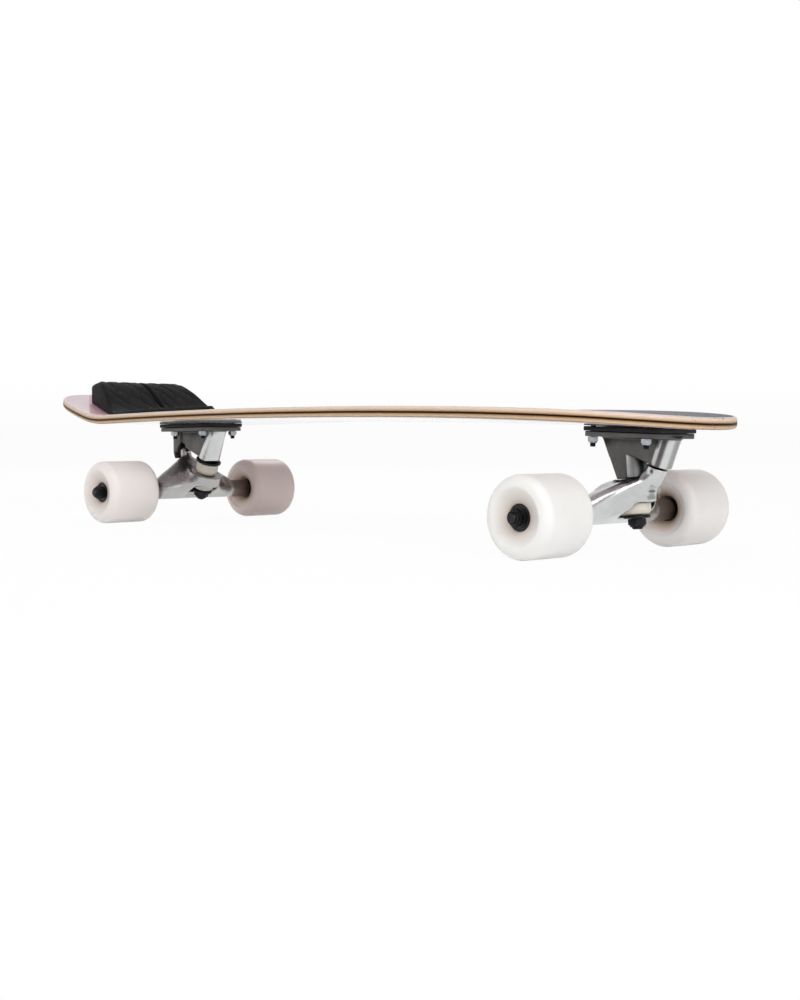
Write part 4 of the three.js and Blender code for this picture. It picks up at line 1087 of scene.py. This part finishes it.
def make_front_baseplate():
    truck = FRONT
    pivot, boss, c, d = truck["pivot"], truck["cup_axis"], truck["centre"], truck["kingpin"]
    top = truck["height"] - plate_thickness + 1
    half, boss_radius = 11.0, 11.2
    web_top, web_foot, notch, nose_end = -8.0, 9.0, 18.6, 70
    seam = pivot - boss * 5.6
    seat = c + d * truck["seat"]
    kingpin_nose = seat[0] + half

    def seam_z(x):
        return seam[2] - (x - seam[0]) * math.tan(FRONT_BOSS_TILT)

    def seat_z(x):
        return seat[2] - (x - seat[0]) * math.tan(truck["tilt"])

    tower_side = [
        (web_top, top), ((web_top + web_foot) / 2, (top + seat_z(web_foot)) / 2), (notch, seam_z(notch)),
        (nose_end, seam_z(nose_end)), (nose_end, top),
    ]
    stem_side = [
        (web_top, top), (web_foot, seat_z(web_foot)), (kingpin_nose, seat_z(kingpin_nose)),
        (kingpin_nose, top),
    ]

    def distance(p):
        x, y, z = p

        def upright(side, base, axis, bar):
            """A round front with flat flanks behind it, cut to its outline from the side."""
            before = ahead(x, z, base, axis)
            flat = np.maximum(np.where(before < 0, np.abs(y) - half, FAR), before)
            return soft_max(field_slab(p, side, half + 3, 0.9), soft_min(flat, bar, 0.6), 1.2)

        tower = upright(tower_side, pivot, boss, field_rod(p, pivot, boss, -30, 60, boss_radius, edge=0.5))
        stem = upright(stem_side, c, d, field_rod(p, c, d, 0, 70, half, edge=0.5))
        return field_pierced(p, truck, soft_min(tower, stem, 0.8))

    low, high = (-17, -29, 25), (62, 29, 69)
    obj, points = cast_piece(truck, "base", "baseplate", "board", SATIN, distance, low, high)
    # Machined nose, brighter and smoother, with painted reflection bands round it, and a painted highlight on
    # the flanks of the round post over the bushing
    x, z = points[:, 0], points[:, 2]
    towards = ahead(x, z, pivot, boss)
    # Reflection bands painted round the nose, by degrees from straight ahead
    reflection_bands = (0, 14, 26, 46, 56, 70, 76, 88, 95), (0.4, 0.5, 1, 1, 0, 0, 0.9, 0.9, 0)
    nose = np.clip((towards + 0.5) / 0.5, 0, 1) * np.interp(around(points, towards), *reflection_bands)
    before = ahead(x, z, c, d)
    # A highlight painted on the round post, strongest on its flanks
    post_highlight = np.clip((before - 0.4) / 0.5, 0, 1) * np.clip((seam_z(x) - z - 0.8) / 0.8, 0, 1)
    post_highlight = post_highlight * (x < pivot[0] - 4)
    post_highlight = post_highlight * np.interp(around(points, before), (0, 30, 60, 75, 90), (0.1, 0.1, 0.25, 0.8, 0.8))
    point_values(obj, "bright", np.maximum(nose * (x > pivot[0] - 1), post_highlight) * under_plate(points, truck))


def make_rear_baseplate():
    truck = REAR
    c, d = truck["centre"], truck["kingpin"]
    top = truck["height"] - plate_thickness + 1
    half, web_half, tube_foot, tube_head = 9.0, 7.4, 12, 9.6
    back, back_foot = -33.0, 48.5
    chin, throat, notch = (-23.4, 35.2), (-24.4, 43.2), (-12.6, 55.2)
    brow, cheek, foot = (-6.4, 52.4), (-4.6, 44.6), (0.4, 38.4)
    seat = c + d * truck["seat"]
    tube_end = c + d * (top - c[2]) / math.cos(truck["tilt"]) + at(4.6, 0)
    tube = tube_end - seat
    length = float(np.linalg.norm(tube))
    tower_side = [(back, top), (back, back_foot), chin, throat, notch, (notch[0], top)]
    web_side = [
        (notch[0] - 2, top), (notch[0] - 2, notch[1]), brow, cheek, foot, (seat[0], seat[2] + 1),
        (tube_end[0], top),
    ]

    def distance(p):
        x, y, z = p
        plan = np.sqrt(np.minimum(x - (back + half), 0) ** 2 + y * y) - half
        tower = soft_max(field_slab(p, tower_side, half + 3, 0.9), plan, 0.9)
        bar = soft_max(field_rod(p, seat, tube, 0, length + 3, tube_foot, tube_head, edge=0.9), z - top, 0.3)
        stem = soft_min(field_slab(p, web_side, web_half, 1.0), bar, 1.6)
        stem = soft_max(stem, -along(x, z, seat, d), 0.8)
        return field_pierced(p, truck, soft_min(tower, stem, 1.0))

    low, high = (-36, -29, 33), (63, 29, 73)
    obj, points = cast_piece(truck, "base", "baseplate", "board", SATIN, distance, low, high)
    # Machined round tube over the bushing
    rel = points - seat
    t = rel @ unit(tube)
    across = np.linalg.norm(rel - t[:, None] * unit(tube), axis=1)
    skin = tube_foot + (tube_head - tube_foot) * np.clip(t / length, 0, 1)
    before = ahead(points[:, 0], points[:, 2], seat, d)
    lit = np.clip((before + 5.5) / 1.5, 0, 1) * np.clip(2 - (across - skin) / 0.8, 0, 1)
    point_values(obj, "bright", lit * under_plate(points, truck))


def field_hanger(p, truck, wings, extra):
    """Wings, barrel and ring with room for the bushings, and the ball on its neck."""
    c, d, pivot = truck["centre"], truck["kingpin"], truck["pivot"]
    half = truck["ring_thickness"] / 2
    axle, outward = np.zeros(3), (0, 1, 0)
    barrel_end = hanger_reach - barrel_reach
    barrel = field_rod(p, axle, outward, -barrel_end, barrel_end, barrel_radius)
    facing = field_rod(p, axle, outward, -hanger_reach, hanger_reach, facing_radius, edge=0.4)
    body = soft_min(soft_max(wings, np.abs(p[1]) - barrel_end, 0.5), barrel, 1.2)
    body = soft_min(body, field_rod(p, c, d, -half, half, truck["ring_radius"], edge=1.3), truck["blend"])
    body = extra(body)
    body = soft_max(body, -field_room(p, truck, truck["upper"], half, truck["height"]), 1.2)
    body = soft_max(body, -field_room(p, truck, truck["lower"], -60, -half), 1.2)
    body = soft_min(body, facing, 0.5)
    stub = field_rod(p, pivot, truck["cup_axis"], -truck["ball"] * 3, 0, truck["neck"], edge=0.3)
    body = soft_min(body, soft_min(stub, field_ball(p, pivot, truck["ball"]), 0.6), 0.8)
    body = soft_max(body, -field_rod(p, c, d, -half - 8, half + 8, truck["ring_hole"], edge=0.1), 0.6)
    bore = field_rod(p, axle, outward, -track_width, track_width, axle_diameter / 2 + gap, edge=0.1)
    return soft_max(body, -bore, 0.3)


# Where the barrel's ends turn raw, with painted shade and reflection of the wheels
RAW_SHADE_START, RAW_SHADE_FADE = 46, 6


def make_hanger(truck, distance, low, high):
    """Polished in the middle, raw at the barrel's ends and browner there with painted shade; the rear one
    gets some of this all over.
    """
    body = f"{truck['name']}_truck"
    obj, points = cast_piece(truck, "hanger", "hanger", body, POLISHED, distance, low, high, HANGER_EASING)
    point_values(obj, "raw_and_shade", np.clip((np.abs(points[:, 1]) - RAW_SHADE_START) / RAW_SHADE_FADE, truck["least_raw_and_shade"], 1))


def make_front_hanger():
    truck = FRONT
    bars = {"arm": (38, 34, 4), "spine": (-3, 19, 6), "bay": (24, 10.5, 8)}
    shares = {
        "arm": (1, 1, 0.8, 0.7, 0.6, 0.42, 0.2, 0), "spine": (1, 1, 0.94, 0.8, 0.6, 0.4, 0.18, 0),
        "bay": (1, 1, 1, 0.86, 0.55, 0.26, 0.09, 0),
    }
    pivot, boss = truck["pivot"], truck["cup_axis"]
    seam = -5.6 - 1.7

    def distance(p):
        above = along(p[0], p[2], pivot, boss) - seam

        def extra(body):
            end = field_rod(p, pivot, boss, seam - 15, seam, 6.6, 9.2, edge=0.7)
            return soft_max(soft_min(body, end, 2.5), above, 0.9)

        return field_hanger(p, truck, field_wings(p, truck, bars, shares), extra)

    make_hanger(truck, distance, (-12, -79, -12), (56, 79, 55))


def make_rear_hanger():
    truck = REAR
    bars = {"arm": (-13, 31.6, 7), "spine": (0, 23, 8), "bay": (21, 10.5, 8.4)}
    shares = {
        "arm": (1, 0.97, 0.86, 0.72, 0.56, 0.38, 0.2, 0), "spine": (1, 1, 0.92, 0.8, 0.62, 0.4, 0.18, 0),
        "bay": (1, 1, 0.97, 0.76, 0.46, 0.22, 0.07, 0),
    }
    tip = truck["pivot"] - truck["steer"] * 7.6
    stem = tip - at(*bars["arm"][:2])
    length = float(np.linalg.norm(stem))

    def distance(p):
        def extra(body):
            bar = field_rod(p, tip, stem, -length, 0, 7, 6, edge=0.5)
            return soft_min(body, soft_min(bar, field_ball(p, tip, 6), 0.8), 3.0)

        return field_hanger(p, truck, field_wings(p, truck, bars, shares), extra)

    make_hanger(truck, distance, (-32, -79, -12), (44, 79, 56))


def make_kingpin(truck):
    name, c, d = truck["name"], truck["centre"], truck["kingpin"]
    radius, neck, nut = kingpin_diameter / 2, truck["kingpin_length"], truck["nut"]
    foot = nut - kingpin_nut_height - kingpin_end
    head = neck + kingpin_head_height
    roof = head - kingpin_head_roof
    profile = [
        (0, foot), (radius - 0.9, foot), *threads(radius - 0.05, foot + 0.7, nut + 2), (radius, nut + 2.4),
        (radius, neck), (kingpin_head_radius, neck), (kingpin_head_radius, roof),
        (kingpin_head_radius - 0.5, roof + 0.8), (kingpin_head_radius - kingpin_head_roof, head), (0, head),
    ]
    piece(f"{name}_kingpin_bolt", turned(profile, 32, c, d), BLACK, "board", f"{name}_kingpin", truck)
    rings = nut_rings(kingpin_nut_flats, nut, kingpin_nut_height, kingpin_nut_dome, radius + 0.1, -1)
    piece(f"{name}_kingpin_locknut", swept(rings, c, d, True), BLACK, "board", f"{name}_kingpin_nut",
          truck)


def make_bushing(truck, part):
    """A barrel-shaped bushing on a mesh of its own, and its cup washer."""
    name, c, d, joint = truck["name"], truck["centre"], truck["kingpin"], f"{truck['name']}_steer"
    sign, start, keep = truck[part]["sign"], truck[part]["start"], truck[part]["keep"]
    height, near, waist, far = truck[part]["bushing"]
    inner = kingpin_diameter / 2 + bushing_hole
    levels = np.linspace(0, height, 25)
    radii = smooth_values((0, height / 3, height / 2, height), (near, waist, waist, far), levels)
    radii = radii - rounding(0.8, np.minimum(levels, height - levels))
    end = start + sign * height
    outline = [(inner, start), *[(r, start + sign * h) for r, h in zip(radii, levels)], (inner, end)]
    bush = piece(f"{name}_{part}_bush", turned(outline, 64, c, d, True), BUSHING, "board",
                 f"{name}_{part}_bushing", truck, sharp=40)
    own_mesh(bush)
    # The cup's lip turns over the bushing's rim
    wide, thick, lip = truck[part]["washer"]
    outline = [
        (inner, 0), (wide - lip, 0), (wide - lip * 0.4, lip * 0.12), (wide - 0.1, lip * 0.42),
        (wide, lip * 0.6), (wide, thick - 0.5), (wide - 0.15, thick - 0.15), (wide - 0.5, thick),
        (inner + 0.3, thick), (inner, thick - 0.3),
    ]
    outline = [(r, truck[part]["washer_start"] + sign * h) for r, h in outline]
    piece(f"{name}_{part}_cup_washer", turned(outline, 64, c, d, True), BLACK, "board",
          f"{name}_{part}_washer", truck)


def make_pivot_cup(truck):
    name, pivot, axis = truck["name"], truck["pivot"], truck["cup_axis"]
    inner, mouth = cup_inner(truck), -truck["mouth"]
    outer = inner + cup_wall
    shell = [
        (math.sqrt(inner ** 2 - mouth ** 2), mouth), (outer - 0.2, mouth), (outer, mouth + 0.2),
        (outer, outer - 0.3), (outer - 0.3, outer), (0, outer),
    ]
    angles = np.linspace(math.pi / 2, math.asin(mouth / inner), 12)
    hollow = [(inner * math.cos(a), inner * math.sin(a)) for a in angles]
    shape = joined(turned(shell, 40, pivot, axis), turned(hollow, 40, pivot, axis))
    piece(f"{name}_pivot_socket", shape, CUP, "board", f"{name}_pivot_cup", truck)


def make_bolts(truck):
    """Countersunk bolts with a hexagonal socket, each with its locknut."""
    name, up, sides = truck["name"], (0, 0, 1), 48
    top = seat_height(truck) + deck_thickness
    nut_top = truck["height"] - plate_thickness - gap
    radius = bolt_diameter / 2
    end = nut_top - bolt_nut_height - bolt_end
    shaft = [
        (0, end), (radius - 0.5, end), *threads(radius - 0.02, end + 0.4, nut_top - 0.4, 0.8, 0.28),
        (radius - 0.1, nut_top + 0.2), (radius - 0.1, top - bolt_head_depth), (bolt_head_radius, top - 0.25),
        (bolt_head_radius - 0.12, top),
    ]
    socket = hex_radii(3.2, sides)
    rings = round_rings(shaft, sides)
    rings += [(socket + 0.25, top), (socket, top - 0.2), (socket, top - 1.6), (0.0, top - 1.9)]
    nut = nut_rings(bolt_nut_flats, nut_top, bolt_nut_height, 1.3, radius + 0.02, -1)
    for n, spot in enumerate(bolt_places(truck), 1):
        bolt, locknut = swept(rings, spot, up), swept(nut, spot, up, True)
        indices = [0] * len(bolt[1]) + [1] * len(locknut[1])
        piece(f"{name}_bolt_{n}", joined(bolt, locknut), BOLT, "board", f"{name}_deck_bolt_{n}", truck,
              indices=indices)


def make_axle(truck):
    name, radius = truck["name"], axle_diameter / 2
    outer_face = track_width / 2 + wheel_width / 2 - outer_bearing_depth
    half = outer_face + gap + washer_thickness + gap + axle_nut_height + axle_end
    side = [*threads(radius, outer_face - 3, half - 0.8), (radius - 0.8, half), (0, half)]
    profile = [*mirrored(side), (radius, 4 - outer_face), (radius, outer_face - 4), *side]
    shape = turned(profile, 32, np.zeros(3), (0, 1, 0))
    piece(f"{name}_axle_rod", shape, DARK, f"{name}_truck", f"{name}_axle", truck)


# Wheels

# How much painted pink light, bounced from the deck's print, each wheel shows; more on the rear ones
WHEEL_PINK_BOUNCE = {"front_left": 0.12, "front_right": 0.0, "rear_left": 0.7, "rear_right": 0.25}


def arc(centre, radius, start, end, steps=14):
    """Profile points round a centre, angles in degrees from the radial direction."""
    angles = np.radians(np.linspace(start, end, steps + 1))
    return [(centre[0] + radius * math.cos(a), centre[1] + radius * math.sin(a)) for a in angles]


def eased(start, end, pull, steps):
    """Profile points from start to end, drawn toward a third point."""
    points = []
    for k in range(steps + 1):
        t = k / steps
        a, b, c = (1 - t) ** 2, 2 * t * (1 - t), t * t
        points.append((a * start[0] + b * pull[0] + c * end[0], a * start[1] + b * pull[1] + c * end[1]))
    return points


def make_wheel(truck, hand, side):
    name = f"{truck['name']}_{hand}"
    outward = np.array((0.0, float(side), 0.0))
    make_tyre(truck, name, outward)
    outer_face = track_width / 2 + wheel_width / 2 - outer_bearing_depth
    inner_face = track_width / 2 - wheel_width / 2 + inner_bearing_depth
    make_bearing(truck, name, "outer", outward, outer_face - bearing_width / 2)
    make_bearing(truck, name, "inner", outward, inner_face + bearing_width / 2)
    make_hardware(truck, name, outward, outer_face, inner_face)


def make_tyre(truck, name, outward):
    """A round-lipped wheel, dished on both faces down to its bearing seats."""
    half, seat, crest = wheel_width / 2, bearing_outer / 2 + gap / 2, wheel_radius - wheel_lip
    outer_face, inner_face = half - outer_bearing_depth, half - inner_bearing_depth
    back = arc((crest, wheel_lip - half), wheel_lip, -90, 0)
    front = arc((crest, half - wheel_lip), wheel_lip, 0, 90)
    slope = (outer_bearing_depth - 0.6) / (crest - seat - 1.5)
    rim = (crest - 2.2, half - 0.25 - 1.1 * slope)
    front_dish = eased((crest - 0.4, half - 0.02), rim, (crest - 1.4, half - 0.1), 6)
    foot = (wheel_mouth - 2.6, half - 0.25 - slope * (crest - wheel_mouth + 1.5))
    funnel = eased(foot, (seat + 0.35, outer_face + 0.35), (seat + 1.8, outer_face + 0.9), 8)
    dish = wheel_dish - half
    back_dish = eased((crest - 0.4, 0.02 - half), (wheel_back + 0.6, dish - 0.03), (crest - 2, 0.5 - half), 5)
    foot, pull = (seat + 0.35, -inner_face - 0.5), (seat + 3.2, dish + 1.6)
    back_funnel = eased((wheel_back - 0.1, dish + 0.12), foot, pull, 10)
    outer_stop, inner_stop = outer_face - bearing_width - gap, bearing_width + gap - inner_face
    profile = [
        *back, *[(wheel_radius, (half - wheel_lip) * k / 6) for k in range(-5, 6)],
        *front, *front_dish, *funnel, (seat, outer_face + 0.1), (seat, outer_stop),
        (seat - wheel_shoulder, outer_stop), (seat - wheel_shoulder, inner_stop), (seat, inner_stop),
        (seat, -inner_face - 0.1), *reversed(back_funnel), *reversed(back_dish),
    ]
    clean = [profile[0]]
    for point in profile[1:]:
        if math.dist(point, clean[-1]) > 0.02:
            clean.append(point)
    shape = turned(clean, 112, outward * track_width / 2, outward, True)
    wheel = piece(f"{name}_tyre", shape, URETHANE, f"{name}_wheel", f"{name}_wheel", truck, sharp=45)
    # Beige painted shade down both dishes, deepest toward the bearing
    local = placed(wheel, truck)
    radius = np.hypot(local[:, 0], local[:, 2])
    inward = outward[1] * local[:, 1] < track_width / 2
    depth = np.where(inward, wheel_back, crest - 1) + 0.5 - radius
    dish_shade = np.clip(depth / np.where(inward, 10.0, 13.0), 0, 1)
    behind = 0.2 * np.clip(dish_shade * 5, 0, 1) + 0.7 * dish_shade
    facing = 0.06 * np.clip(dish_shade * 12, 0, 1) + 0.6 * dish_shade ** 2.4
    point_values(wheel, "dish_shade", np.where(inward, behind, facing))
    # Painted pink bounce light, by wheel
    point_values(wheel, "rose", np.full(len(radius), WHEEL_PINK_BOUNCE[name]))


def mirrored(profile):
    return [(r, -h) for r, h in reversed(profile)]


def make_bearing(truck, name, part, outward, place):
    """Two steel rings, with dark shields sunk between them."""
    half, r, bore = bearing_width / 2, bearing_outer / 2, bearing_inner / 2 + slide
    shoulder = [(r - 1.5, half), (r - 1.6, half - 0.3)]
    race = [(r - 0.35, -half), (r, -half + 0.35), (r, half - 0.35), (r - 0.35, half), *shoulder]
    seal = [
        (r - 1.6, half - 0.45), (r - 2.4, half - 0.3), (r - 2.9, half - 0.55), (bore + 2.2, half - 0.55),
        (bore + 1.8, half - 0.35), (bore + 1.5, half - 0.5),
    ]
    hub = [(bore + 1.5, half - 0.3), (bore + 1.4, half), (bore + 0.3, half), (bore, half - 0.3)]
    outline = [*mirrored(shoulder), *race, *seal, *hub, *mirrored(hub), *mirrored(seal)]
    verts, faces = turned(outline, 64, outward * place, outward, True)
    dark = {*range(6, 15), *range(20, 29)}
    indices = [1 if k // 64 in dark else 0 for k in range(len(faces))]
    piece(f"{name}_{part}_race", (verts, faces), BEARING, f"{name}_wheel", f"{name}_{part}_bearing", truck,
          indices=indices)


def make_hardware(truck, name, outward, outer_face, inner_face):
    """Spacer, washer and nut, which stay with the axle."""
    body, middle = f"{truck['name']}_truck", np.zeros(3)
    bore = axle_diameter / 2 + gap

    def sleeve(radius, start, end):
        return [(bore, start), (radius - 0.2, start), (radius, start + 0.2), (radius, end - 0.2),
                (radius - 0.2, end), (bore, end)]

    spacer = sleeve(spacer_radius, inner_face + bearing_width + gap, outer_face - bearing_width - gap)
    shape = turned(spacer, 32, middle, outward, True)
    piece(f"{name}_spacer", shape, STEEL, body, f"{name}_bearing_spacer", truck)
    start = outer_face + gap
    washer = sleeve(washer_radius, start, start + washer_thickness)
    shape = turned(washer, 48, middle, outward, True)
    piece(f"{name}_washer", shape, DARK, body, f"{name}_axle_washer", truck)
    nut = start + washer_thickness + gap
    rings = nut_rings(axle_nut_flats, nut, axle_nut_height, axle_nut_dome, bore - 0.1, 1)
    piece(f"{name}_locknut", swept(rings, middle, outward, True), BLACK, body, f"{name}_axle_nut", truck)


make_deck()
make_pad(1, "tail_pad_left")
make_pad(-1, "tail_pad_right")
for truck in (FRONT, REAR):
    make_riser(truck)
    make_kingpin(truck)
    make_bushing(truck, "upper")
    make_bushing(truck, "lower")
    make_pivot_cup(truck)
    make_bolts(truck)
    make_axle(truck)
    make_wheel(truck, "left", 1)
    make_wheel(truck, "right", -1)
make_front_baseplate()
make_rear_baseplate()
make_front_hanger()
make_rear_hanger()


# Floor, lamps, world and camera

FLOOR_REACH = 30.0
FLOOR_WHITE = 0.95
CAMERA_PLACE = (1.0539, -0.9287, 0.099)
CAMERA_TURNS = (0.798436, -0.048533, 0.003)
CAMERA_LENS = 48.917

# The studio's brightness by height, and by degrees round from +X
BACKDROP = [(0.0, 0.969), (0.04, 1.0)]
SKY = [(0.3, 1.0), (0.55, 0.45)]
FLAGS = [
    (-180, 1.0), (-106, 1.0), (-98, 0.25), (-66, 0.25), (-58, 1.0), (4, 1.0), (20, 0.4), (95, 0.4),
    (112, 1.0), (180, 1.0),
]


def make_floor():
    """Pale paint that the camera sees nearly white, while it keeps a little of the object's shadow."""
    mesh = bpy.data.meshes.new("floor")
    places = [(x * FLOOR_REACH, y * FLOOR_REACH, 0) for x, y in ((-1, -1), (1, -1), (1, 1), (-1, 1))]
    mesh.from_pydata(places, [], [(0, 1, 2, 3)])
    floor = bpy.data.objects.new("floor", mesh)
    bpy.context.scene.collection.objects.link(floor)
    material = bpy.data.materials.new("floor")
    material.use_nodes = True
    f = Nodes(material.node_tree)
    f.nodes.clear()
    path = f.nodes.new("ShaderNodeLightPath")
    seen = f.math("MAXIMUM", path.outputs["Is Camera Ray"], path.outputs["Is Glossy Ray"])
    seen = f.math("MAXIMUM", seen, path.outputs["Is Transmission Ray"])
    surface = f.add("MixShader", 0, Fac=f.math("MULTIPLY", seen, FLOOR_WHITE))
    f.put(surface.node.inputs[1], f.add("BsdfDiffuse", 0, Color=(0.97, 0.97, 0.97, 1)))
    f.put(surface.node.inputs[2], f.add("Emission", 0, Color=(1, 1, 1, 1)))
    f.fill(f.nodes.new("ShaderNodeOutputMaterial"), Surface=surface)
    mesh.materials.append(material)


def make_world():
    """A white studio with a dimmer ceiling and soft dark flags beside the camera."""
    world = bpy.data.worlds.new("studio")
    bpy.context.scene.world = world
    world.use_nodes = True
    f = Nodes(world.node_tree)
    f.place = f.add("TexCoord", "Generated")
    turn = f.spread(f.math("ARCTAN2", f.axis("Y"), f.axis("X")), -math.pi, math.pi)
    flags = f.ramp(turn, [((degrees + 180) / 360, level) for degrees, level in FLAGS])
    height = f.axis("Z")
    lit = f.mix(1.0, f.ramp(height, SKY), flags, "MULTIPLY")
    # Seen straight on, the studio is white all round
    seen = f.mix(f.add("LightPath", "Is Camera Ray"), lit, f.ramp(height, BACKDROP))
    f.fill(f.nodes["Background"], Color=seen)


def make_lamp(name, place, target, size, power):
    lamp = bpy.data.lights.new(name, "AREA")
    lamp.shape = "RECTANGLE"
    lamp.size, lamp.size_y = size
    lamp.energy = power
    obj = bpy.data.objects.new(name, lamp)
    obj.location = place
    obj.rotation_euler = (Vector(target) - Vector(place)).to_track_quat("-Z", "Y").to_euler()
    bpy.context.scene.collection.objects.link(obj)


def make_camera():
    """The camera as fitted to the photograph."""
    yaw, pitch, roll = CAMERA_TURNS
    forward = Vector((-math.sin(yaw) * math.cos(pitch), math.cos(yaw) * math.cos(pitch), math.sin(pitch)))
    level = Vector((math.cos(yaw), math.sin(yaw), 0))
    upright = level.cross(forward)
    right = math.cos(roll) * level + math.sin(roll) * upright
    up = math.cos(roll) * upright - math.sin(roll) * level
    camera = bpy.data.objects.new("camera", bpy.data.cameras.new("camera"))
    bpy.context.scene.collection.objects.link(camera)
    matrix = Matrix((right, up, -forward)).transposed().to_4x4()
    matrix.translation = CAMERA_PLACE
    camera.matrix_world = matrix
    camera.data.sensor_width = 36
    camera.data.lens = CAMERA_LENS
    camera.data.clip_start, camera.data.clip_end = 0.01, 100
    bpy.context.scene.camera = camera


make_floor()
make_world()
make_lamp("key", (0.9, -1.6, 2.0), (0, 0, 0.08), (1.8, 1.2), 20)
make_lamp("fill", (-1.6, 1.2, 1.8), (0, 0, 0.08), (1.6, 1.2), 16)
make_lamp("side", (1.93, -0.52, 1.0), (0.3, 0, 0.06), (1.2, 1.0), 11)
make_camera()
bpy.context.scene.view_settings.view_transform = "Standard"
